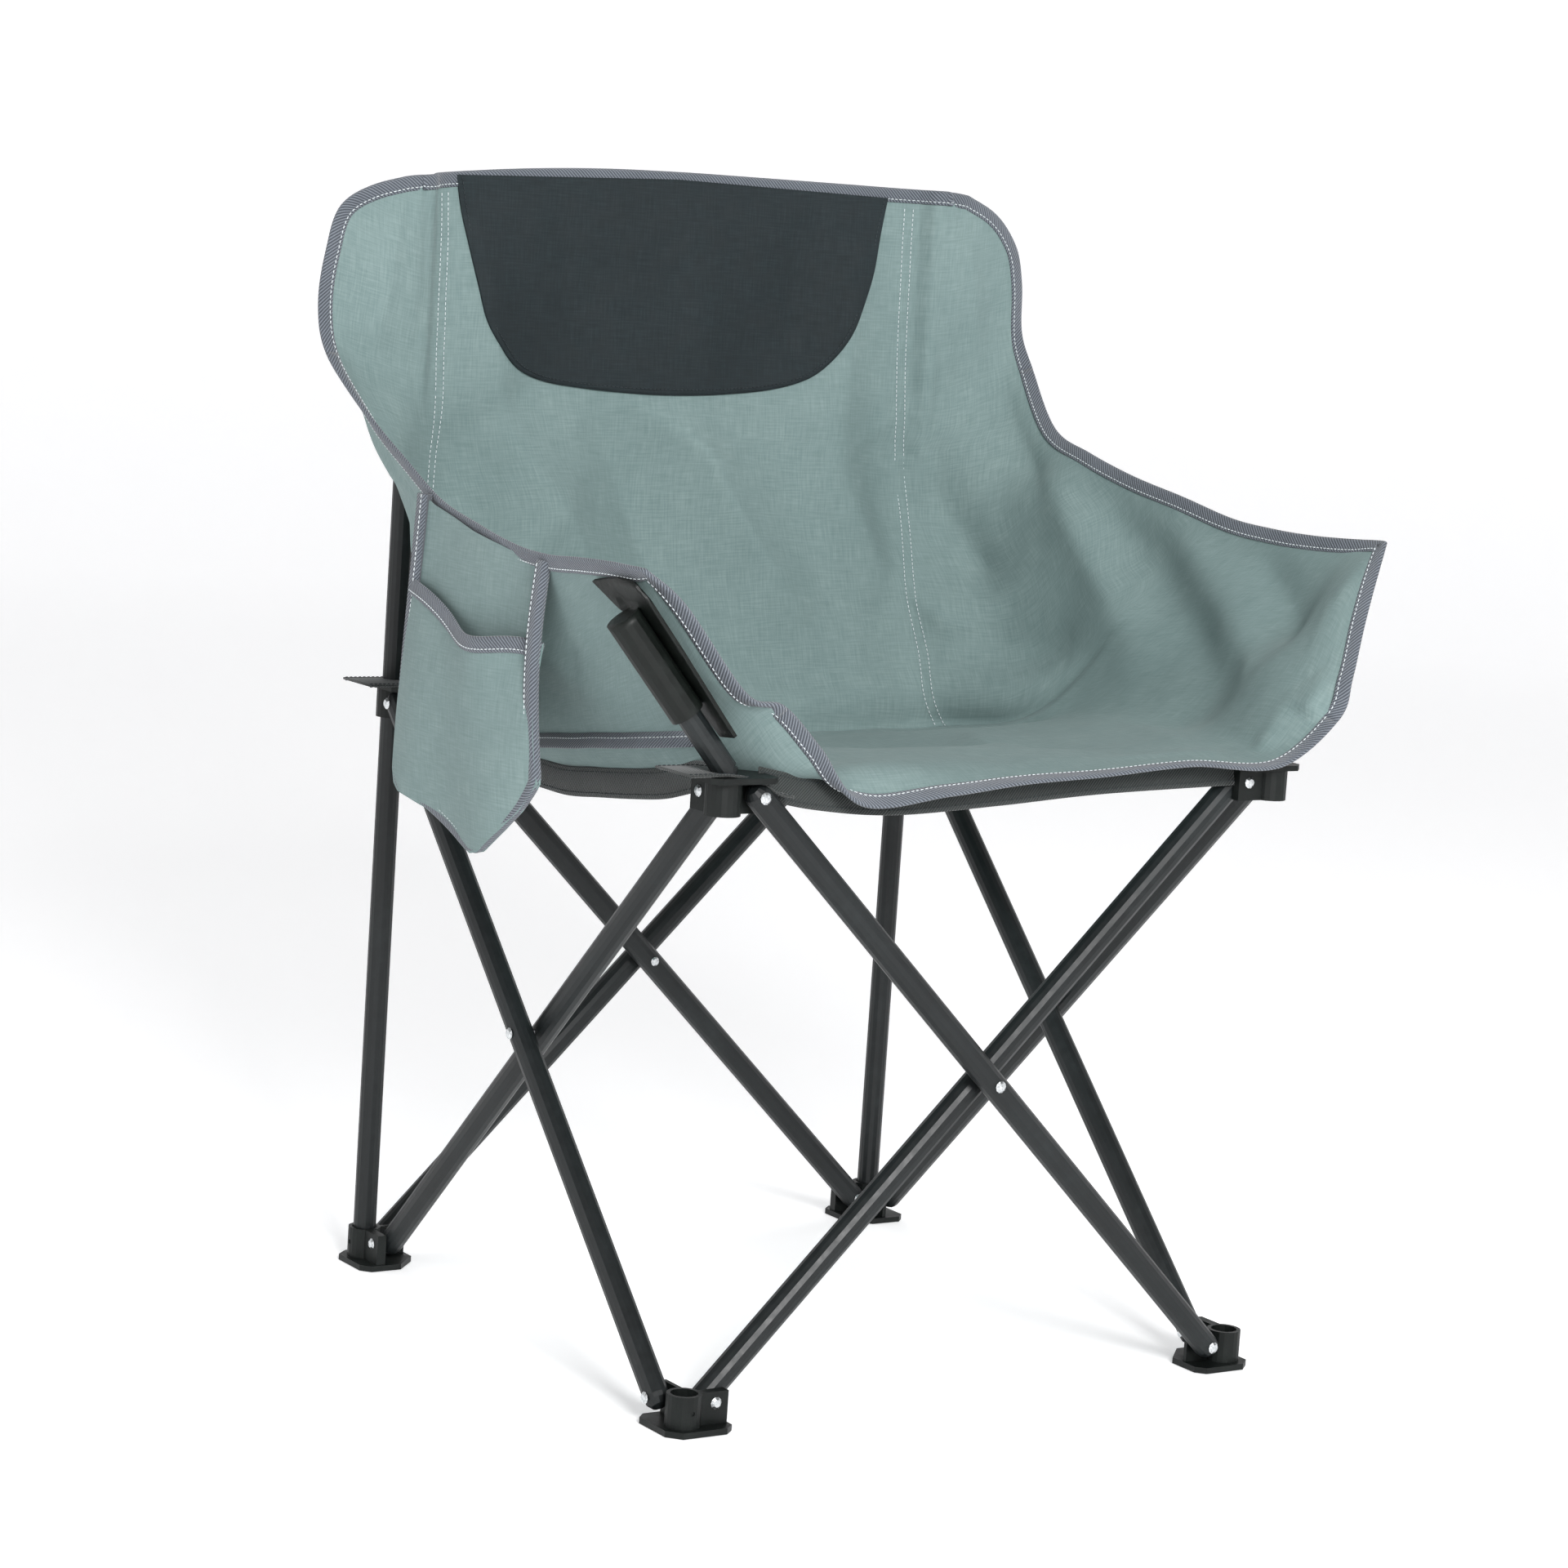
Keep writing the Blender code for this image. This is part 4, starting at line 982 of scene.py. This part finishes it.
def arm_sleeve(side, P, N, cols, mats):
    """The moulded sleeve, its wing bent to lie against the outside of the cloth."""
    name = "right" if side < 0 else "left"
    cad = NODES["arm_sleeve_" + name]
    bm = bmesh.new()
    bm.from_mesh(cad.data)
    bm.transform(cad.matrix_world)
    bmesh.ops.remove_doubles(bm, verts=bm.verts, dist=1e-6)
    for _ in range(4):
        long = [e for e in bm.edges if e.calc_length() > 0.007]
        bmesh.ops.subdivide_edges(bm, edges=long, cuts=1)
        bmesh.ops.triangulate(bm, faces=[f for f in bm.faces if len(f.verts) > 3])
    base, d, fore, inside, length = arm_frame(side)
    V = np.array([v.co[:] for v in bm.verts])
    q = V - base
    h, c, w = q @ d, q @ fore, q @ inside
    wing = np.abs(c) > 0.0125
    top = w[wing].max() if wing.any() else 0.0
    mask = cols > 0.5 if side > 0 else cols < -0.5
    cloud = P[:, mask].reshape(-1, 3)
    normals = N[:, mask].reshape(-1, 3)
    # the wing keeps close to the tube, so that the cloth's rim stands well clear of it
    inner = c < -0.0125
    V[inner] -= fore * ((c[inner] + 0.0125) * (0.42 if side > 0 else 0.55))[:, None]
    c = (V - base) @ fore
    for k in np.nonzero(wing | (w > 0.005))[0]:
        at = base + d * h[k] + fore * c[k] + inside * (top if wing[k] else w[k])
        d2 = np.sum((cloud - at) ** 2, axis=1)
        near = np.argpartition(d2, 6)[:6]
        f = 1 / (d2[near] + 1e-7)
        f /= f.sum()
        p0, n0 = f @ cloud[near], f @ normals[near]
        n0 /= np.linalg.norm(n0)
        if n0[0] * side < 0:
            n0 = -n0
        gap = 0.0022 - np.dot(at - p0, n0)
        if gap > 0:
            V[k] += n0 * min(gap, 0.0026 + 9.0 * max(0.0, abs(c[k]) - 0.0125))
    for v, co in zip(bm.verts, V):
        v.co = co
    mesh = bpy.data.meshes.new("arm_sleeve_" + name + "_moulding")
    bm.to_mesh(mesh)
    bm.free()
    for p in mesh.polygons:
        p.use_smooth = True
    mesh.set_sharp_from_angle(angle=math.radians(38))
    mesh.materials.clear()
    mesh.materials.append(mats["sleeve"])
    o = bpy.data.objects.new(mesh.name, mesh)
    bpy.context.scene.collection.objects.link(o)
    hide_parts("arm_sleeve_" + name)
    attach(o, "hub_front_" + name)


def bound_seam(side, P, N, rows, cols, v_at, mats):
    """The taped seam allowance that stands out along the bottom of the arm, outside."""
    j = int(np.argmin(np.abs(cols - 0.62 * side)))
    first = int(np.argmin(np.abs(rows - v_at[ROW_CREASE]))) + 6
    last = len(rows) - 1 - 12
    idx = list(range(first, last))
    path = P[idx, j] + N[idx, j] * 0.0010
    up = P[idx, j + 4 * side] - P[idx, j]
    up /= np.linalg.norm(up, axis=1, keepdims=True)
    out = N[idx, j] * 0.80 - up * 0.45 + np.array([0, 0, -0.25])
    out /= np.linalg.norm(out, axis=1, keepdims=True)
    t = np.gradient(path, axis=0)
    t /= np.linalg.norm(t, axis=1, keepdims=True)
    nn = np.cross(t, out)
    nn /= np.linalg.norm(nn, axis=1, keepdims=True)
    h, w = 0.0012, 0.0095
    prof = [(-.001, -h * .6), (0.0, -h), (w * .5, -h * 1.1), (w - .0012, -h), (w, -h * .5), (w, h * .5), (w - .0012, h), (w * .5, h * 1.1), (0.0, h), (-.001, h * .6)]
    mesh = Mesh()
    sweep(mesh, path, out, nn, prof, 0)
    for sgn in (-1, 1):
        stitches(mesh, path + out * 0.0030 + nn * sgn * h * 1.05, nn * sgn, 1)
    return mesh.build("arm_seam_tape_" + ("right" if side < 0 else "left"), [mats["binding"], mats["stitch"]])


def under_seat(P, rows, v_at, x, y):
    """The height of the seat's cloth at (x, y), lowest where two layers meet."""
    k = int(np.argmin(np.abs(rows - v_at[ROW_CREASE])))
    Q = P[k:].reshape(-1, 3)
    d = (Q[:, 0] - x) ** 2 + (Q[:, 1] - y) ** 2
    near = np.argsort(d)[:6]
    if d[near[0]] > 0.012 ** 2:
        return 9.0
    return float(Q[near, 2].min())


# ---------------------------------------------------------------- side pocket

def side_pocket(mats):
    """Two layers of cloth hung from the arm's rim: a backing to the rim and a pouch whose mouth is bound and slack."""
    mesh = Mesh()

    def rim_z(y):
        return float(np.interp(y, [-.12, -.06, -.01, .045, .095], [.5345, .5365, .5435, .5545, .5755]))

    # the pouch's lower outline, from the rear edge round the pointed bottom to the front edge
    bottom = [(.0660, .3760), (.0635, .3670), (.0560, .3625), (.0400, .3605), (.0200, .3570), (-.005, .3480), (-.0290, .3395), (-.0410, .3375), (-.0520, .3400), (-.0640, .3480),
              (-.080, .3590), (-.098, .3730), (-.1160, .3930)]
    by = np.array([p[0] for p in bottom])
    bz = np.array([p[1] for p in bottom])

    def low_z(y):
        return float(np.interp(y, by[::-1], bz[::-1]))

    # backing: from the rim down to the outline
    nb_r, nb_c = ((60, 52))
    B = np.zeros((nb_r, nb_c, 3))
    F = np.zeros((nb_r, nb_c, 3))
    for j in range(nb_c):
        s = j / (nb_c - 1)
        y_top = .0600 + (-.1080 - .0600) * s
        y_low = .0670 + (-.1160 - .0670) * s
        top = rim_z(y_top) - 0.004
        low = low_z(y_low)
        slack = math.exp(-((s - .66) / .20) ** 2)
        mouth = .5015 - .0225 * s - 0.0050 * math.sin(s * math.pi) + 0.0025 * math.sin(s * 9.0) - 0.0045 * slack
        for i in range(nb_r):
            t = i / (nb_r - 1)
            z = top + (low - top) * t
            yb = y_top + (y_low - y_top) * t ** 1.5
            x = -.2842 - .0030 * math.sin(t * 3.1) - .0025 * t + 0.0012 * math.sin(s * 9 + t * 4)
            B[i, j] = (x, yb, z)
            z2 = mouth + (low - mouth) * t
            belly = math.sin(math.pi * min(1, s)) ** 0.7
            x2 = x - .0035 - (.0075 * belly * (1 - t) ** 0.7 + .004 * belly * math.sin(math.pi * t) + 0.0015 * math.sin(s * 11)) - .0075 * slack * (1 - t) ** 3
            t2 = (z2 - top) / (low - top)
            F[i, j] = (max(x2, -.3120), y_top + (y_low - y_top) * max(t2, 0) ** 1.5, z2)
    N1 = grid_normals(B)
    N2 = grid_normals(F)
    keep = np.ones((nb_r - 1, nb_c - 1), bool)
    sheet_solid(mesh, B, N1, B[..., 1:3].copy(), keep, 0, 0.0007)
    sheet_solid(mesh, F, N2, F[..., 1:3].copy(), keep, 0, 0.0007)

    h, w = 0.0016, 0.0098
    profile = [(w, -h * 0.75), (w - 0.0006, -h), (0.0014, -h), (0.0, -h * 0.72), (-0.0007, 0.0),
               (0.0, h * 0.72), (0.0014, h), (w - 0.0006, h), (w, h * 0.75), (w * 0.92, 0.0)]

    def bind(path, nrm, inner_point, profile_, both=True):
        path = np.array(path)
        t = np.gradient(path, axis=0)
        t /= np.linalg.norm(t, axis=1, keepdims=True) + 1e-12
        nrm = np.array(nrm)
        inw = np.cross(nrm, t)
        sgn = np.sign(np.sum(inw * (np.array(inner_point) - path), axis=1))
        inw *= sgn[:, None]
        for _ in range(2):
            inw[1:-1] = inw[:-2] + inw[1:-1] * 2 + inw[2:]
            inw /= np.linalg.norm(inw, axis=1, keepdims=True) + 1e-12
        sweep(mesh, path, inw, nrm, profile_, 1)
        for side in ((-1, 1) if both else (1,)):
            stitches(mesh, path + inw * 0.0074 + nrm * side * h * 1.02, nrm * side, 2)

    # mouth binding, then the bound outer edge that takes both layers
    mouth_path = [F[0, j] for j in range(nb_c)]
    bind(mouth_path, [N2[0, j] for j in range(nb_c)], (-.29, 0, .40), profile)
    wide = [(a, b * 2.2) for a, b in profile]
    mid = (B + F) / 2
    edge = [mid[i, 0] for i in range(nb_r)] + [mid[-1, j] for j in range(1, nb_c)] + [mid[i, -1] for i in range(nb_r - 2, -1, -1)]
    edge = []
    for i in range(nb_r):
        edge.append(B[i, 0] + np.array([-.0012, 0, 0]))
    for j in range(1, nb_c):
        edge.append((B[-1, j] + F[-1, j]) / 2)
    for i in range(nb_r - 2, -1, -1):
        edge.append(B[i, -1] + np.array([-.0012, 0, 0]))
    edge = np.array(edge)
    for _ in range(3):
        edge[1:-1] = (edge[:-2] + edge[1:-1] * 2 + edge[2:]) / 4
    nn = np.tile([-1.0, 0, 0], (len(edge), 1))
    h = 0.0034
    prof2 = [(w, -h * 0.75), (w - 0.0006, -h), (0.0014, -h), (0.0, -h * 0.72), (-0.0007, 0.0),
             (0.0, h * 0.72), (0.0014, h), (w - 0.0006, h), (w, h * 0.75), (w * 0.92, 0.0)]
    bind(edge, nn, (-.29, 0, .46), prof2)
    return mesh.build("side_pocket_pouch", [mats["cloth"], mats["binding"], mats["stitch"]])


# ---------------------------------------------------------------- webbing

def strap(name, path, width_dir, width, mats, half=0.0009, stitch_rows=True, bar=True):
    path = np.array(path, float)
    n = 60
    s = np.linspace(0, 1, len(path))
    at = np.linspace(0, 1, n)
    p = curve_through(s, path, at)
    wd = np.array([width_dir] * n, float) if np.ndim(width_dir) == 1 else curve_through(s, np.array(width_dir, float), at)
    wd /= np.linalg.norm(wd, axis=1, keepdims=True)
    t = np.gradient(p, axis=0)
    t /= np.linalg.norm(t, axis=1, keepdims=True)
    wd = wd - t * np.sum(wd * t, axis=1)[:, None]
    wd /= np.linalg.norm(wd, axis=1, keepdims=True)
    nn = np.cross(t, wd)
    r = half
    w = width / 2
    profile = [(-w, -r * .4), (-w + .0008, -r), (w - .0008, -r), (w, -r * .4), (w, r * .4), (w - .0008, r), (-w + .0008, r), (-w, r * .4)]
    mesh = Mesh()
    sweep(mesh, p, wd, nn, profile, 0)
    if stitch_rows:
        for side in (-1, 1):
            for off in (-w + .003, w - .003):
                stitches(mesh, p + wd * off + nn * side * (r + 0.0001), nn * side, 1, radius=0.0003)
    return mesh.build(name, [mats["webbing"], mats["dark_stitch"]])


# ---------------------------------------------------------------- build

def recolour(mats):
    for name, o in NODES.items():
        if name.startswith("rivet"):
            m = mats["rivet"]
        elif name.startswith(("tube_", "post_right", "post_left", "arm_tube")):
            m = mats["tube"]
        elif name.startswith("arm_sleeve"):
            m = mats["sleeve"]
        elif name.startswith(("foot_", "hub_", "post_cap")):
            m = mats["plastic"]
        else:
            continue
        for i in range(len(o.material_slots)):
            o.material_slots[i].material = m
        if not len(o.material_slots):
            o.data.materials.append(m)


def build():
    make_camera()
    make_stage()
    mats = make_materials()
    recolour(mats)
    P, N, rows, cols, v_at, pieces = main_cover(mats)
    finish_soft(pieces["cover_back"][0], "root", ["back_panel_upper"])
    finish_soft(pieces["cover_lower_back"][0], "hub_rear_right", ["back_panel_lower"])
    finish_soft(pieces["cover_arm_right"][0], "hub_rear_right", ["arm_panel_right"])
    finish_soft(pieces["cover_arm_left"][0], "hub_rear_left", ["arm_panel_left"])
    finish_soft(pieces["cover_seat_rear"][0], "seat_rear", ["seat_rear"])
    finish_soft(pieces["cover_seat_front"][0], "seat_front", ["seat_front"])

    patch = head_patch(P, v_at, rows, mats)
    finish_soft(patch, "root", ["headrest_patch"])

    pocket = side_pocket(mats)
    finish_soft(pocket, "hub_rear_right", ["side_pocket"])

    for o, name in zip(post_sleeves(P, mats), ("right", "left")):
        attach(o, "root" if name == "right" else "foot_rear_left")
    for side, name in ((-1, "right"), (1, "left")):
        arm_sleeve(side, P, N, cols, mats)
        o = bound_seam(side, P, N, rows, cols, v_at, mats)
        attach(o, "hub_rear_" + name)
        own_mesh(o)

    front = strap("seat_strap_front", [(-.188, -.212, .4070), (-.140, -.205, .3975), (-.080, -.203, .3925), (0, -.203, .3965), (.080, -.205, .4025), (.188, -.212, .4075)],
                  (0, 0.25, 1), .020, mats)
    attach(front, "seat_front")
    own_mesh(front)

    for side, name in ((-1, "right"), (1, "left")):
        body = "hub_rear_" + name
        path = [(side * .204, .190, .4000), (side * .200, .158, .3730)]
        for y in (.120, .080, .040, 0, -.040, -.080, -.120, -.160):
            k = int(np.argmin(np.abs(rows - v_at[ROW_CREASE])))
            Q = P[k:].reshape(-1, 3)
            near = np.argsort((Q[:, 0] - side * .201) ** 2 + (Q[:, 1] - y) ** 2)[:3]
            path.append((side * .199, y, min(float(Q[near, 2].mean()) - .0115, .4030)))
        path.append((side * .202, -.192, .4045))
        s = strap("seat_strap_" + name, path, (side * 0.15, 0, 1), .020, mats)
        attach(s, body)
        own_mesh(s)

    for corner, sx, sy in (("front_right", -1, -1), ("front_left", 1, -1), ("rear_right", -1, 1), ("rear_left", 1, 1)):
        lo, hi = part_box("corner_tab_" + corner)
        cx, cy = (lo[0] + hi[0]) / 2, (lo[1] + hi[1]) / 2
        z = (lo[2] + hi[2]) / 2
        pts = []
        for f in np.linspace(0, 1, 9):
            x = lo[0] + (hi[0] - (.026 if corner == "front_left" else 0) - lo[0]) * f
            top = min(under_seat(P, rows, v_at, x, cy + e) for e in (-.018, 0, .018))
            pts.append((x, cy, min(z, top - .0035)))
        pts = np.array(pts)
        for _ in range(2):
            pts[1:-1, 2] = np.minimum(pts[1:-1, 2], (pts[:-2, 2] + pts[2:, 2]) / 2)
        s = strap("corner_webbing_" + corner, pts, (0, 1, 0), (hi[1] - lo[1]) * .92, mats, half=0.0008)
        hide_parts("corner_tab_" + corner)
        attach(s, "hub_" + corner)
        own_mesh(s)


build()
